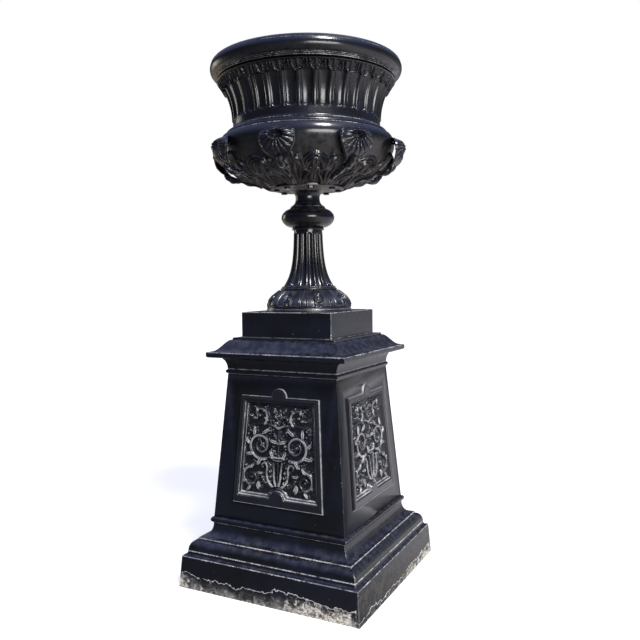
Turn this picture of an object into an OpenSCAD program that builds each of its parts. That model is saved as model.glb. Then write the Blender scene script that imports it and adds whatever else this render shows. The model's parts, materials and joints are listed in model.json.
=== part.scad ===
// Cast iron garden urn standing on a tapered square pedestal.
// The origin is the centre of the pedestal's foot on the ground, +Z is up and the front face looks along -Y.

/* [Pedestal base] */
// Width of the square base at the ground
base_w = 610; // [590:5:660]
// Height of the upright plinth face
plinth_h = 97; // [80:1:120]
// Step back from the plinth face to the mouldings
plinth_step = 8; // [4:1:12]
// Rise and run of the small cove above the plinth
foot_cove = 12; // [8:1:16]
// Run of the ovolo
ovolo_run = 23; // [16:1:30]
// Rise of the ovolo
ovolo_rise = 32; // [24:1:40]
// Height of the fillet between the ovolo and the cavetto
fillet_h = 5; // [3:1:8]
// Step back above the fillet
fillet_step = 4; // [2:1:6]
// Run of the cavetto
cavetto_run = 31; // [24:1:38]
// Rise of the cavetto
cavetto_rise = 41; // [34:1:50]
// Height of the quirk under the top bead
quirk_h = 3; // [2:1:5]
// Height of the top bead
base_bead_h = 18; // [12:1:24]
// Projection of the top bead from the shaft
base_bead_out = 8; // [5:1:11]
// Wall of the base casting
base_wall = 10; // [7:1:14]

/* [Pedestal shaft] */
// Height of the four tapered plates
shaft_h = 442; // [420:2:520]
// How far each face leans in from bottom to top
shaft_lean = 36.5; // [28:0.5:44]
// Wall of the shaft plates
shaft_wall = 10; // [8:0.5:12]
// Thickness of the bolted flanges of the shaft, base and cap
flange_t = 8; // [6:1:10]
// Width of those flanges inside the shaft wall
flange_w = 30; // [26:1:36]
// Distance between the two bolts of a flange
bolt_spacing = 150; // [110:5:170]
// Leg of the corner angles
angle_leg = 40; // [34:1:46]
// Thickness of the corner angles
angle_t = 6; // [4:1:8]

/* [Relief panel] */
// Height of the raised frame
panel_h = 329; // [300:1:340]
// Plate left beside the frame at its bottom edge
panel_side_low = 65.4; // [60:0.2:75]
// Plate left beside the frame at its top edge
panel_side_high = 59.3; // [54:0.1:66]
// Height of the frame's bottom edge above the foot of the shaft
panel_up = 56; // [50:1:70]
// How far the frame stands out from the plate
frame_out = 6; // [4:0.5:8]
// Flat margin of the frame at the sides and top
frame_margin = 13; // [11:1:16]
// Flat margin of the frame at the bottom
frame_margin_low = 22; // [18:1:28]
// Width of the stepped moulding around the field
bevel_w = 16; // [12:1:20]
// Radius of the half round ear on the top edge
ear_r = 26; // [20:1:32]
// Radius of the half round at the bottom of the field
notch_r = 23; // [18:1:28]
// Thickness of the field
field_t = 4; // [3:0.5:5]
// Height of the relief above the field
relief_t = 8; // [5:0.5:10]
// Clearance between the panel and its window
panel_gap = 1; // [0.5:0.5:2]
// Width of the cleats behind the panel
cleat_w = 30; // [24:1:36]
// Thickness of the cleats
cleat_t = 6; // [4:1:8]

/* [Pedestal cap] */
// Height of the collar over the shaft
collar_h = 5; // [3:1:8]
// Height of the bead over the collar
cap_bead_h = 13; // [9:1:17]
// Projection of the bead
cap_bead_out = 5.5; // [3:0.5:8]
// Rise of the cove under the lip
cap_cove_h = 38; // [30:1:48]
// Run of the cove under the lip
cap_cove_run = 23.5; // [18:0.5:30]
// Run of the flat soffit
soffit_run = 25; // [18:1:32]
// Drop of the lip below which the soffit rounds
soffit_drop = 5; // [3:1:8]
// Height of the upright lip
lip_h = 12; // [9:1:16]
// Run of the curved top from the lip to the ledge
weather_run = 60; // [50:1:64]
// Rise of the curved top
weather_rise = 37; // [30:1:46]
// Height of the ledge under the urn
ledge_h = 5; // [3:1:8]
// Wall of the cap casting
cap_wall = 9; // [7:1:12]
// Diameter of the hole in the cap's top plate
cap_hole_d = 120; // [90:5:150]

/* [Urn foot and stem] */
// Width of the square block under the urn
block_w = 312; // [290:2:320]
// Height of the block
block_h = 79; // [66:1:92]
// Wall of the block
block_wall = 8; // [6:1:12]
// Diameter of the round foot
foot_d = 271; // [260:1:282]
// Height of the round foot
foot_h = 66; // [56:1:78]
// Height of the foot's upright edge
foot_edge_h = 8; // [6:1:12]
// Wall of the foot
foot_wall = 9; // [7:1:12]
// Height of the gadroons on the foot
gadroon_h = 4; // [2:0.5:6]
// Number of gadroons on the foot
gadroons = 16; // [12:4:20]
// Diameter of the stem at the foot
stem_base_d = 180; // [160:2:190]
// Diameter of the stem at its top
stem_top_d = 88; // [80:1:96]
// Height of the stem
stem_h = 190; // [170:2:220]
// Height in which the stem's flare drops to about a third
stem_sweep = 50; // [40:1:60]
// Number of flutes on the stem
stem_flutes = 16; // [12:2:20]
// Depth of the stem's flutes as they leave the foot
stem_flute_depth = 7; // [4:0.5:9]
// Diameter of the knop
knop_d = 168; // [150:1:186]
// Height of the knop's round part
knop_h = 62; // [50:1:74]
// Height of the fillets above and below the knop
knop_fillet_h = 8; // [6:1:10]
// Smallest diameter of the neck under the bowl
neck_d = 77; // [70:1:84]
// Height of the neck piece
neck_h = 67; // [60:1:80]
// Diameter of the bolted flange under the bowl
seat_d = 232; // [224:1:240]
// Thickness of that flange
seat_t = 10; // [8:1:14]
// Diameter of the circle of flange bolts
seat_pcd = 196; // [192:1:198]
// Diameter of the tie rod
rod_d = 16; // [12:1:20]

/* [Bowl] */
// Largest diameter of the bowl body
belly_d = 552; // [520:2:590]
// Height of the largest diameter above the flange
belly_h = 122; // [105:1:135]
// How full the underside is, 2 is a true ellipse
underside_power = 1.7; // [1.5:0.1:2.2]
// Height from the largest diameter to the seam
shoulder_h = 28; // [20:1:34]
// Wall of the bowl
bowl_wall = 8; // [6:0.5:10]
// Height of the torus over the seam
torus_h = 18; // [14:1:22]
// Height of the plain band under the flutes
band_h = 26; // [20:1:32]
// Diameter of the bowl's neck
throat_d = 464; // [450:2:478]
// Height of the bowl's neck from the seam to the rim
throat_h = 174; // [160:1:190]
// Number of flutes around the neck
throat_flutes = 32; // [24:4:40]
// Depth of these flutes
throat_flute_depth = 5; // [3:0.5:6]
// Height of the band of tongues under the rim
tongue_h = 52; // [40:1:60]
// How far the tongues stand out
tongue_out = 7; // [4:0.5:8]
// Diameter of the rim
rim_d = 601; // [590:1:615]
// How far the rim stands out past the tongues
rim_overhang = 18.2; // [12:0.2:24]
// Height of the rim
rim_h = 58; // [52:1:66]
// Wall of the rolled rim
rim_wall = 9; // [7:0.5:12]

/* [Scroll handles] */
// Turn of the ring of handles from the front face
handle_turn = 11.6; // [0:0.1:22]
// Width of a handle across its shell
handle_w = 110; // [90:1:116]
// Width of its stalk
stalk_w = 24; // [18:1:30]
// Thickness of the stalk
stalk_t = 9; // [7:1:12]

/* [Fasteners] */
// Diameter of the flange bolts and nuts
bolt_d = 10; // [8:1:12]
// Diameter of the small screws
screw_d = 6; // [5:1:7]

/* [Hidden] */

paint = "#16171d";
paint_light = "#22252e";
bare_iron = "#4a4744";
sides = ["front", "right", "back", "left"];
arc_steps = 8;
fit = 0.2;
head_h = 0.65;
nut_h = 0.8;

// Heights of the joints between the castings
shaft_z = plinth_h + foot_cove + ovolo_rise + fillet_h + cavetto_rise + quirk_h + base_bead_h;
cap_z = shaft_z + shaft_h;
lip_z = cap_z + collar_h + cap_bead_h + cap_cove_h + soffit_drop;
urn_z = lip_z + lip_h + weather_rise + ledge_h;
foot_z = urn_z + block_h;
stem_z = foot_z + foot_h;
knop_z = stem_z + stem_h;
neck_z = knop_z + knop_fillet_h + 1 + knop_h;
seat_z = neck_z + neck_h;
belly_z = seat_z + belly_h;
seam_z = belly_z + shoulder_h;
rim_z = seam_z + throat_h;

// Half widths of the square courses
ovolo_a = base_w / 2 - plinth_step - foot_cove;
fillet_a = ovolo_a - ovolo_run;
cavetto_a = fillet_a - fillet_step;
shaft_a = cavetto_a - cavetto_run - 2;
shaft_top_a = shaft_a - shaft_lean;
lip_a = shaft_top_a + cap_cove_run + soffit_run;
ledge_a = lip_a - weather_run;
lean = atan(shaft_lean / shaft_h);
wall_across = shaft_wall / cos(lean);

// Places of the fasteners
base_opening = shaft_a - wall_across - flange_w;
cap_opening = shaft_top_a - wall_across - flange_w;
seat_bolt_turn = handle_turn + 22.5;
foot_bolt_r = foot_d / 2 - foot_wall - gadroon_h - 12;
foot_flange_r = foot_bolt_r - 14;
foot_web_z = stem_z - 14;
rod_pocket_z = seat_z - 24;
rod_pocket_r = rod_d + 12;
rod_hole_r = rod_d / 2 + 1.5;
washer_t = 3;
seam_flange_r = throat_d / 2 + 2;
seam_bolt_r = seam_flange_r + 9.5;
throat_inner_wall = bowl_wall + throat_flute_depth;
tongue_root_r = rim_d / 2 - rim_overhang;
rim_flange_r = tongue_root_r - tongue_out - throat_inner_wall - 18;
rim_screw_r = rim_flange_r + 7;
screw_z = belly_z - 4;

// A quarter of an ellipse from p to q, leaving p upright when climb is true and level when it is false
function quarter(p, q, climb, n = arc_steps) = [
    for (i = [0:n])
        let (s = sin(90 * i / n), c = 1 - cos(90 * i / n))
        [p[0] + (q[0] - p[0]) * (climb ? c : s), p[1] + (q[1] - p[1]) * (climb ? s : c)]];

// Half of an ellipse that bulges outward from radius x between heights z and z + h
function bead(x, z, h, out, n = arc_steps) = [
    for (i = [0:n])
        let (t = 180 * i / n - 90)
        [x + out * cos(t), z + h / 2 + h / 2 * sin(t)]];

// The same outline moved by a wall inward and by a drop downward
function inset(points, wall, drop) = [for (p = points) [p[0] - wall, p[1] - drop]];
function mirrored(points) = [for (i = [len(points) - 1:-1:0]) [-points[i][0], points[i][1]]];
function between(a, b, t) = a + (b - a) * t;

// A solid whose level sections are squares, from its outline on one side
module square_turned(points) {
    whole = concat(points, mirrored(points));
    reach = 2 * max([for (p = points) p[0]]) + 2;
    intersection() {
        rotate([90, 0, 0]) linear_extrude(reach, center = true) polygon(whole);
        rotate([90, 0, 90]) linear_extrude(reach, center = true) polygon(whole);
    }
}

module square_tube(half, z0, z1) {
    translate([-half, -half, z0]) cube([2 * half, 2 * half, z1 - z0]);
}

// A prism between two outlines of the same number of points at two heights
module between_outlines(low, z0, high, z1) {
    n = len(low);
    polyhedron(
        concat([for (p = low) [p[0], p[1], z0]], [for (p = high) [p[0], p[1], z1]]),
        concat(
            [[for (i = [0:n - 1]) i], [for (i = [0:n - 1]) i == 0 ? n : 2 * n - i]],
            [for (i = [0:n - 1]) [i, n + i, n + (i + 1) % n, (i + 1) % n]]));
}

// A skin through rings of points around Z, closed by a fan at each end
module ring_solid(rings) {
    n = len(rings[0]);
    m = len(rings);
    low = [0, 0, rings[0][0][2]];
    high = [0, 0, rings[m - 1][0][2]];
    polyhedron(
        concat([for (r = rings) each r], [low, high]),
        concat(
            [for (i = [0:m - 2], j = [0:n - 1])
                let (k = (j + 1) % n)
                each [[i * n + j, (i + 1) * n + j, (i + 1) * n + k], [i * n + j, (i + 1) * n + k, i * n + k]]],
            [for (j = [0:n - 1]) [m * n, j, (j + 1) % n]],
            [for (j = [0:n - 1]) [m * n + 1, (m - 1) * n + (j + 1) % n, (m - 1) * n + j]]));
}

// A skin through rings of points that meets itself again, such as a hollow ring
module ring_shell(rings) {
    n = len(rings[0]);
    m = len(rings);
    polyhedron(
        [for (r = rings) each r],
        [for (i = [0:m - 1], j = [0:n - 1])
            let (k = (j + 1) % n, b = ((i + 1) % m) * n)
            each [[i * n + j, b + j, b + k], [i * n + j, b + k, i * n + k]]]);
}

module turned(points) {
    rotate_extrude($fn = 96) polygon(points);
}

module ring_of(count, radius, turn = 0) {
    for (i = [0:count - 1])
        rotate([0, 0, turn + 360 * i / count]) translate([0, -radius, 0]) children();
}

// A hexagon head or nut of the right size across flats for its thread, from z upward
module hexagon(d, h) {
    cylinder(h = h, r = 0.98 * d, $fn = 6);
}

module nut(d) {
    difference() {
        hexagon(d, nut_h * d);
        translate([0, 0, -1]) cylinder(h = d + 2, r = d / 2 + 0.05, $fn = 24);
    }
}

// A bolt whose head hangs below the level where it bears and whose shank rises from there
module bolt_up(d, grip) {
    translate([0, 0, -head_h * d]) hexagon(d, head_h * d);
    translate([0, 0, -1]) cylinder(h = grip + 1, r = d / 2, $fn = 24);
}

module hole_up(d, z0, z1) {
    translate([0, 0, z0]) cylinder(h = z1 - z0, r = d / 2 + fit, $fn = 24);
}

// Base casting

function base_outline() = concat(
    [[base_w / 2, 0], [base_w / 2, plinth_h - 2], [base_w / 2 - 2, plinth_h]],
    quarter([base_w / 2 - plinth_step, plinth_h], [ovolo_a, plinth_h + foot_cove], false, 4),
    quarter([ovolo_a, plinth_h + foot_cove], [fillet_a, plinth_h + foot_cove + ovolo_rise], true),
    [[fillet_a, shaft_z - base_bead_h - quirk_h - cavetto_rise]],
    quarter([cavetto_a, shaft_z - base_bead_h - quirk_h - cavetto_rise],
        [shaft_a + 2, shaft_z - base_bead_h - quirk_h], false),
    [[shaft_a + 2, shaft_z - base_bead_h]],
    bead(shaft_a, shaft_z - base_bead_h, base_bead_h, base_bead_out));

function base_inner() = concat(
    [[base_w / 2 - base_wall, -1], [base_w / 2 - base_wall, plinth_h - base_wall]],
    inset(quarter([ovolo_a, plinth_h + foot_cove],
        [fillet_a, plinth_h + foot_cove + ovolo_rise], true, 4), base_wall, base_wall),
    inset(quarter([cavetto_a, shaft_z - base_bead_h - quirk_h - cavetto_rise],
        [shaft_a, shaft_z - base_bead_h - quirk_h], false, 4), base_wall, base_wall / 2),
    [[shaft_a - base_wall, shaft_z - flange_t]]);

// Runs its children at both bolts of each of the four flanges, at the middle of the flange's width
module flange_bolts(inner_half) {
    for (s = [0:3], u = [-1, 1])
        rotate([0, 0, 90 * s])
            translate([u * bolt_spacing / 2, -inner_half - flange_w / 2, 0]) children();
}

module base_moulding() {
    color(paint) difference() {
        square_turned(base_outline());
        square_turned(base_inner());
        square_tube(base_opening, plinth_h, shaft_z + 1);
        flange_bolts(base_opening) hole_up(bolt_d, shaft_z - flange_t - 1, shaft_z + 1);
    }
}

module base_bolts() {
    color(bare_iron) flange_bolts(base_opening)
        translate([0, 0, shaft_z - flange_t]) bolt_up(bolt_d, 2 * flange_t + nut_h * bolt_d + 2);
}

module base_nuts() {
    color(bare_iron) flange_bolts(base_opening) translate([0, 0, shaft_z + flange_t]) nut(bolt_d);
}

// Shaft plates

function shaft_half(z) = between(shaft_a, shaft_top_a, (z - shaft_z) / shaft_h);
function plate_outline(z) =
    let (a = shaft_half(z), b = a - wall_across)
    [[-a, -a], [a, -a], [b, -b], [-b, -b]];

// Puts its children on the outer face of the front plate: x across, y up the slope and z outward
module on_plate(z) {
    translate([0, -shaft_half(z), z]) rotate([90 - lean, 0, 0]) children();
}

module shaft_plate(side) {
    inner_low = shaft_a - wall_across / 2;
    inner_high = shaft_top_a - wall_across / 2;
    color(paint) rotate([0, 0, 90 * side]) difference() {
        union() {
            between_outlines(plate_outline(shaft_z), shaft_z, plate_outline(cap_z), cap_z);
            translate([-base_opening + angle_leg, -inner_low, shaft_z])
                cube([2 * (base_opening - angle_leg), inner_low - base_opening, flange_t]);
            translate([-cap_opening + angle_leg, -inner_high, cap_z - flange_t])
                cube([2 * (cap_opening - angle_leg), inner_high - cap_opening, flange_t]);
        }
        on_plate(panel_z) translate([0, 0, -shaft_wall - 1])
            linear_extrude(shaft_wall + 2) polygon(frame_inset(frame_margin - tray_wall - panel_gap,
                frame_margin_low - tray_wall - panel_gap));
        flange_bolts(base_opening) hole_up(bolt_d, shaft_z - 1, shaft_z + flange_t + 1);
        flange_bolts(cap_opening) hole_up(bolt_d, cap_z - flange_t - 1, cap_z + 1);
        plate_corner_screws() translate([0, 0, -shaft_wall - 1])
            cylinder(h = 7, r = screw_d / 2 + fit, $fn = 24);
    }
}

// Corner angles

angle_low_z = shaft_z + flange_t + 4;
angle_high_z = cap_z - flange_t - 4;
angle_across = angle_t / cos(lean);
angle_screw_in = angle_leg - 16;

function angle_outline(z) =
    let (c = shaft_half(z) - wall_across)
    [[c, -c], [c, angle_leg - c], [c - angle_across, angle_leg - c], [c - angle_across, angle_across - c],
        [c - angle_leg, angle_across - c], [c - angle_leg, -c]];

// Runs its children on the front plate at the three screws of each of its two corner angles
module plate_corner_screws() {
    for (t = [0.08, 0.5, 0.92], u = [-1, 1])
        let (z = between(angle_low_z, angle_high_z, t))
        on_plate(z) translate([u * (shaft_half(z) - wall_across - angle_screw_in), 0, 0]) children();
}

module corner_angle(corner) {
    color(bare_iron) rotate([0, 0, 90 * corner]) difference() {
        between_outlines(angle_outline(angle_low_z), angle_low_z, angle_outline(angle_high_z), angle_high_z);
        for (s = [0, 1])
            rotate([0, 0, 90 * s]) plate_corner_screws() translate([0, 0, -shaft_wall - angle_t - 1])
                cylinder(h = angle_t + 2, r = screw_d / 2 + fit, $fn = 24);
    }
}

module corner_screws() {
    color(bare_iron) for (s = [0:3])
        rotate([0, 0, 90 * s]) plate_corner_screws() {
            translate([0, 0, -shaft_wall - angle_t - head_h * screw_d]) hexagon(screw_d, head_h * screw_d);
            translate([0, 0, -shaft_wall - angle_t - 1])
                cylinder(h = angle_t + 6, r = screw_d / 2, $fn = 24);
        }
}

// Relief panels. Heights on the panel are measured up the plate from the frame's bottom edge.

panel_z = shaft_z + panel_up;
tray_wall = 4;
field_w = -shaft_wall + field_t;
cleat_places = [0.2, 0.8];
cleat_screw_u = 60;

function panel_half(v) = between(shaft_half(panel_z) - panel_side_low,
    shaft_half(panel_z + panel_h * cos(lean)) - panel_side_high, v / panel_h);

// The frame's outline moved in by one margin at the sides and top and by another at the bottom
function frame_inset(margin, low) =
    let (b = panel_half(low) - margin, t = panel_half(panel_h - margin) - margin)
    [[-b, low], [b, low], [t, panel_h - margin], [-t, panel_h - margin]];

// One level of the sunk field, with the half round left standing at its bottom
module field_level(step) {
    difference() {
        polygon(frame_inset(frame_margin + step, frame_margin_low + step));
        translate([0, frame_margin_low]) circle(r = notch_r + step, $fn = 48);
    }
}

// A ribbon that winds from radius r0 at angle a0 to radius r1 at angle a1 and thins as it goes in
module volute(r0, r1, a0, a1, w0, w1, n = 22) {
    polygon(concat(
        [for (i = [0:n]) let (t = i / n, r = between(r0, r1, t), a = between(a0, a1, t)) r * [cos(a), sin(a)]],
        [for (i = [n:-1:0])
            let (t = i / n, r = between(r0, r1, t) - between(w0, w1, t), a = between(a0, a1, t))
            r * [cos(a), sin(a)]]));
}

// A leaf that grows along +Y, widest at the given share of its length
module leaf(length, width, n = 8) {
    half = [for (i = [1:n - 1]) [width / 2 * sin(180 * pow(i / n, 0.75)), length * i / n]];
    polygon(concat([[0, 0]], half, [[0, length]], mirrored(half)));
}

module fan_of_leaves(count, spread, length, width) {
    for (i = [0:count - 1])
        let (a = spread * (i / (count - 1) - 0.5))
        rotate(a) leaf(length * (1 - 0.3 * abs(a) / spread), width);
}

// Traditional scrolling foliage, the same on both sides of a central stalk
module foliage() {
    field_low = frame_margin_low + bevel_w;
    field_high = panel_h - frame_margin - bevel_w;
    rise = field_high - field_low;
    half = panel_half(field_low + rise / 2) - frame_margin - bevel_w;
    big = 0.4 * half;
    corner = 0.25 * half;
    small = 0.175 * half;
    module at(u, v) {
        translate([u * half, field_low + v * rise]) children();
    }
    module side() {
        at(0.53, 0.545) {
            volute(big, 0.28 * big, -75, 430, 0.26 * big, 0.15 * big, 30);
            circle(r = 0.2 * big, $fn = 24);
        }
        at(0.53, 0.545) rotate(150) translate([0, 40]) rotate(-30) leaf(36, 18);
        at(0.53, 0.545) rotate(-75) translate([0, 36]) rotate(-20) leaf(30, 16);
        at(0.57, 0.9) {
            volute(small, 0.35 * small, 200, -170, 0.35 * small, 0.2 * small, 18);
            circle(r = 0.22 * small, $fn = 24);
        }
        at(0.3, 0.76) rotate(-40) leaf(54, 16);
        at(0.8, 0.19) {
            volute(corner, 0.31 * corner, 170, -280, 0.31 * corner, 0.17 * corner, 22);
            circle(r = 0.22 * corner, $fn = 24);
        }
        at(0.2, 0.27) rotate(-52) leaf(60, 20);
        at(0.14, 0.36) rotate(-75) leaf(48, 14);
    }
    side();
    mirror([1, 0]) side();
    at(0, 0.34) translate([-4, 0]) square([8, 0.46 * rise]);
    at(0, 0.77) fan_of_leaves(5, 110, 54, 17);
    at(0, 0.05) fan_of_leaves(5, 80, 88, 28);
    at(0, 0.4) square([38, 10], center = true);
    at(0, 0.57) circle(r = 9, $fn = 24);
    at(0, 0.45) circle(r = 7, $fn = 24);
}

module relief_panel(side) {
    color(paint_light) rotate([0, 0, 90 * side]) on_plate(panel_z) difference() {
        union() {
            difference() {
                union() {
                    linear_extrude(frame_out) {
                        polygon(frame_inset(0, 0));
                        translate([0, panel_h]) circle(r = ear_r, $fn = 48);
                    }
                    translate([0, 0, -shaft_wall]) linear_extrude(shaft_wall + 1)
                        polygon(frame_inset(frame_margin - tray_wall, frame_margin_low - tray_wall));
                }
                linear_cut(0, 0.35);
                linear_cut(bevel_w / 2, 0.7);
                linear_cut(bevel_w, 1);
            }
            translate([0, 0, field_w - 0.5]) linear_extrude(relief_t + 0.5) intersection() {
                foliage();
                field_level(bevel_w + 1);
            }
        }
        cleat_screws() translate([0, 0, -shaft_wall - 1]) cylinder(h = field_t, r = screw_d / 2 + fit, $fn = 24);
    }
}

// Sinks one level of the field by a share of the whole depth
module linear_cut(step, share) {
    top = frame_out + 1;
    depth = share * (frame_out - field_w);
    translate([0, 0, frame_out - depth]) linear_extrude(top - frame_out + depth) field_level(step);
}

module cleat_screws() {
    for (t = cleat_places, u = [-1, 1])
        translate([u * cleat_screw_u, t * panel_h, 0]) children();
}

module panel_cleats() {
    color(bare_iron) for (s = [0:3])
        rotate([0, 0, 90 * s]) on_plate(panel_z) for (t = cleat_places) {
            reach = panel_half(t * panel_h) + 5;
            difference() {
                translate([-reach, t * panel_h - cleat_w / 2, -shaft_wall - cleat_t])
                    cube([2 * reach, cleat_w, cleat_t]);
                cleat_screws() translate([0, 0, -shaft_wall - cleat_t - 1])
                    cylinder(h = cleat_t + 2, r = screw_d / 2 + fit, $fn = 24);
            }
        }
}

module panel_screws() {
    color(bare_iron) for (s = [0:3])
        rotate([0, 0, 90 * s]) on_plate(panel_z) cleat_screws() {
            translate([0, 0, -shaft_wall - cleat_t - head_h * screw_d]) hexagon(screw_d, head_h * screw_d);
            translate([0, 0, -shaft_wall - cleat_t - 1])
                cylinder(h = cleat_t + field_t - 0.5, r = screw_d / 2, $fn = 24);
        }
}

// Cap casting

cove_z = cap_z + collar_h + cap_bead_h;
weather_z = lip_z + lip_h;
weather_mid = [lip_a - 2 - 0.6 * weather_run, weather_z + 0.47 * weather_rise];

function cap_outline() = concat(
    [[shaft_top_a, cap_z]],
    bead(shaft_top_a, cap_z + collar_h, cap_bead_h, cap_bead_out),
    quarter([shaft_top_a, cove_z], [shaft_top_a + cap_cove_run, lip_z - soffit_drop], true),
    quarter([lip_a - 7, lip_z - soffit_drop], [lip_a, lip_z], false, 4),
    [[lip_a, weather_z - 1], [lip_a - 1, weather_z]],
    quarter([lip_a - 2, weather_z], weather_mid, false, 6),
    quarter(weather_mid, [ledge_a, urn_z - ledge_h], true, 6),
    [[ledge_a, urn_z]]);

function cap_inner() = concat(
    [[shaft_top_a - cap_wall, cap_z + flange_t]],
    inset(quarter([shaft_top_a, cove_z], [shaft_top_a + cap_cove_run, lip_z - soffit_drop], true, 4),
        cap_wall, -cap_wall / 2),
    inset(quarter([lip_a - 2, weather_z], weather_mid, false, 4), cap_wall + 4, cap_wall),
    [[ledge_a - cap_wall, urn_z - ledge_h - cap_wall], [ledge_a - cap_wall, urn_z - cap_wall]]);

module cap_cornice() {
    color(paint) difference() {
        square_turned(cap_outline());
        square_turned(cap_inner());
        square_tube(cap_opening, cap_z - 1, cap_z + flange_t + 1);
        translate([0, 0, urn_z - cap_wall - 1]) cylinder(h = cap_wall + 2, r = cap_hole_d / 2, $fn = 96);
        flange_bolts(cap_opening) hole_up(bolt_d, cap_z - 1, cap_z + flange_t + 1);
    }
}

module cap_bolts() {
    color(bare_iron) flange_bolts(cap_opening)
        translate([0, 0, cap_z - flange_t]) bolt_up(bolt_d, 2 * flange_t + nut_h * bolt_d + 2);
}

module cap_nuts() {
    color(bare_iron) flange_bolts(cap_opening) translate([0, 0, cap_z + flange_t]) nut(bolt_d);
}

// Square block under the urn

module urn_block() {
    color(paint) difference() {
        square_tube(block_w / 2, urn_z, foot_z);
        square_tube(block_w / 2 - block_wall, urn_z - 1, foot_z - block_wall);
        translate([0, 0, foot_z - block_wall - 1])
            cylinder(h = block_wall + 2, r = foot_flange_r - 14, $fn = 96);
        ring_of(4, foot_bolt_r, 45) hole_up(bolt_d, foot_z - block_wall - 1, foot_z + 1);
    }
}

module foot_bolts() {
    color(bare_iron) ring_of(4, foot_bolt_r, 45) translate([0, 0, foot_z - block_wall])
        bolt_up(bolt_d, block_wall + flange_t + nut_h * bolt_d + 2);
}

module foot_nuts() {
    color(bare_iron) ring_of(4, foot_bolt_r, 45) translate([0, 0, foot_z + flange_t]) nut(bolt_d);
}

// Round foot: an upright edge, then a dome that carries gadroons

foot_roundness = 2.2;
function foot_r(z) =
    let (t = max(0, (z - foot_z - foot_edge_h) / (foot_h - foot_edge_h)))
    between(foot_d / 2, stem_base_d / 2, pow(t, foot_roundness));

// How far the gadroons stand out at a height, none at the dome's two ends
function gadroon(z, a) =
    let (t = max(0, (z - foot_z - foot_edge_h) / (foot_h - foot_edge_h)))
    gadroon_h * pow(sin(180 * t), 0.6) * abs(cos(gadroons * a / 2));

function foot_ring(z) =
    let (n = 6 * gadroons)
    [for (j = [0:n - 1]) let (a = 360 * j / n, r = foot_r(z) - gadroon_h / 2 + gadroon(z, a))
        [r * cos(a), r * sin(a), z]];

function foot_edge_ring(z) =
    let (n = 6 * gadroons, r = foot_d / 2)
    [for (j = [0:n - 1]) let (a = 360 * j / n) [r * cos(a), r * sin(a), z]];

module urn_foot() {
    color(paint_light) difference() {
        ring_solid(concat(
            [foot_edge_ring(foot_z), foot_edge_ring(foot_z + foot_edge_h - 1)],
            [for (t = [0:0.125:1]) foot_ring(foot_z + foot_edge_h + t * (foot_h - foot_edge_h))]));
        turned([
            [0, foot_z - 1], [foot_flange_r, foot_z - 1], [foot_flange_r, foot_z + flange_t],
            for (t = [0:0.2:1])
                let (z = between(foot_z + flange_t, foot_web_z, t))
                [foot_r(z + foot_wall) - foot_wall - gadroon_h, z],
            [0, foot_web_z]]);
        hole_up(2 * rod_hole_r, foot_web_z - 1, stem_z + 1);
        ring_of(4, foot_bolt_r, 45) hole_up(bolt_d, foot_z - 1, foot_z + flange_t + 1);
    }
}

// Fluted stem

flute_land = 0.3;
flute_facets = 4;
stem_ring_h = 12;
stem_ledge = 1.5;

function stem_r(z) = stem_top_d / 2 + (stem_base_d - stem_top_d) / 2 * exp(-(z - stem_z) / stem_sweep);

// Share of the full depth at a place across one flute, which has a flat land beside it
function flute_share(t) =
    let (x = abs(2 * t - 1))
    x >= 1 ? 0 : sqrt(1 - x * x);

// Angles and shares of depth of the points that one turn of flutes needs
function flute_points(count, facets, land, turn) = [
    for (i = [0:count - 1], j = [0:facets])
        [turn + 360 / count * (i + land / 2 + (1 - land) * j / facets), flute_share(j / facets)]];

function fluted_ring(radius, depth, z, points) = [
    for (p = points)
        let (r = radius - depth * p[1])
        [r * cos(p[0]), r * sin(p[0]), z]];

// Rises from nothing to the full depth in the flute's rounded end
function rounded_end(t) = t <= 0 ? 0 : t >= 1 ? 1 : sqrt(1 - (1 - t) * (1 - t));

module urn_stem() {
    points = flute_points(stem_flutes, flute_facets, flute_land, 0);
    flute_low = stem_z + stem_ring_h;
    flute_high = knop_z - 12;
    function depth(z) =
        stem_flute_depth * stem_r(z) / stem_r(flute_low)
        * rounded_end((z - flute_low) / 14) * rounded_end((flute_high - z) / 8);
    levels = concat(
        [flute_low - 2, flute_low, flute_low + 4, flute_low + 10, flute_low + 20],
        [for (t = [0.25:0.25:0.75]) between(flute_low + 20, flute_high - 10, t)],
        [flute_high - 10, flute_high - 3, flute_high, knop_z]);
    color(paint) difference() {
        union() {
            ring_solid([for (z = levels) fluted_ring(stem_r(max(z, flute_low)), depth(z), z, points)]);
            turned(concat(
                [[0, stem_z]],
                bead(stem_r(stem_z) - 3, stem_z, 5, 3, 4),
                [[stem_r(stem_z) - 4, stem_z + 6], [stem_r(flute_low) + stem_ledge, flute_low], [0, flute_low]]));
        }
        hole_up(2 * rod_hole_r, stem_z - 1, knop_z + 1);
    }
}

// Knop, neck and flange

module stem_knop() {
    mid = knop_z + knop_fillet_h + 1 + knop_h / 2;
    waist = stem_top_d / 2 + 6;
    color(paint) difference() {
        turned(concat(
            [[0, knop_z], [waist - 2, knop_z]],
            bead(waist - 2, knop_z, knop_fillet_h, 3, 6),
            [for (i = [0:16])
                let (t = -75 + 150 * i / 16)
                [waist + (knop_d / 2 - waist) * (cos(t) - cos(75)) / (1 - cos(75)),
                    mid + knop_h / 2 * sin(t) / sin(75)]],
            [[0, neck_z]]));
        hole_up(2 * rod_hole_r, knop_z - 1, neck_z + 1);
    }
}

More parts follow.
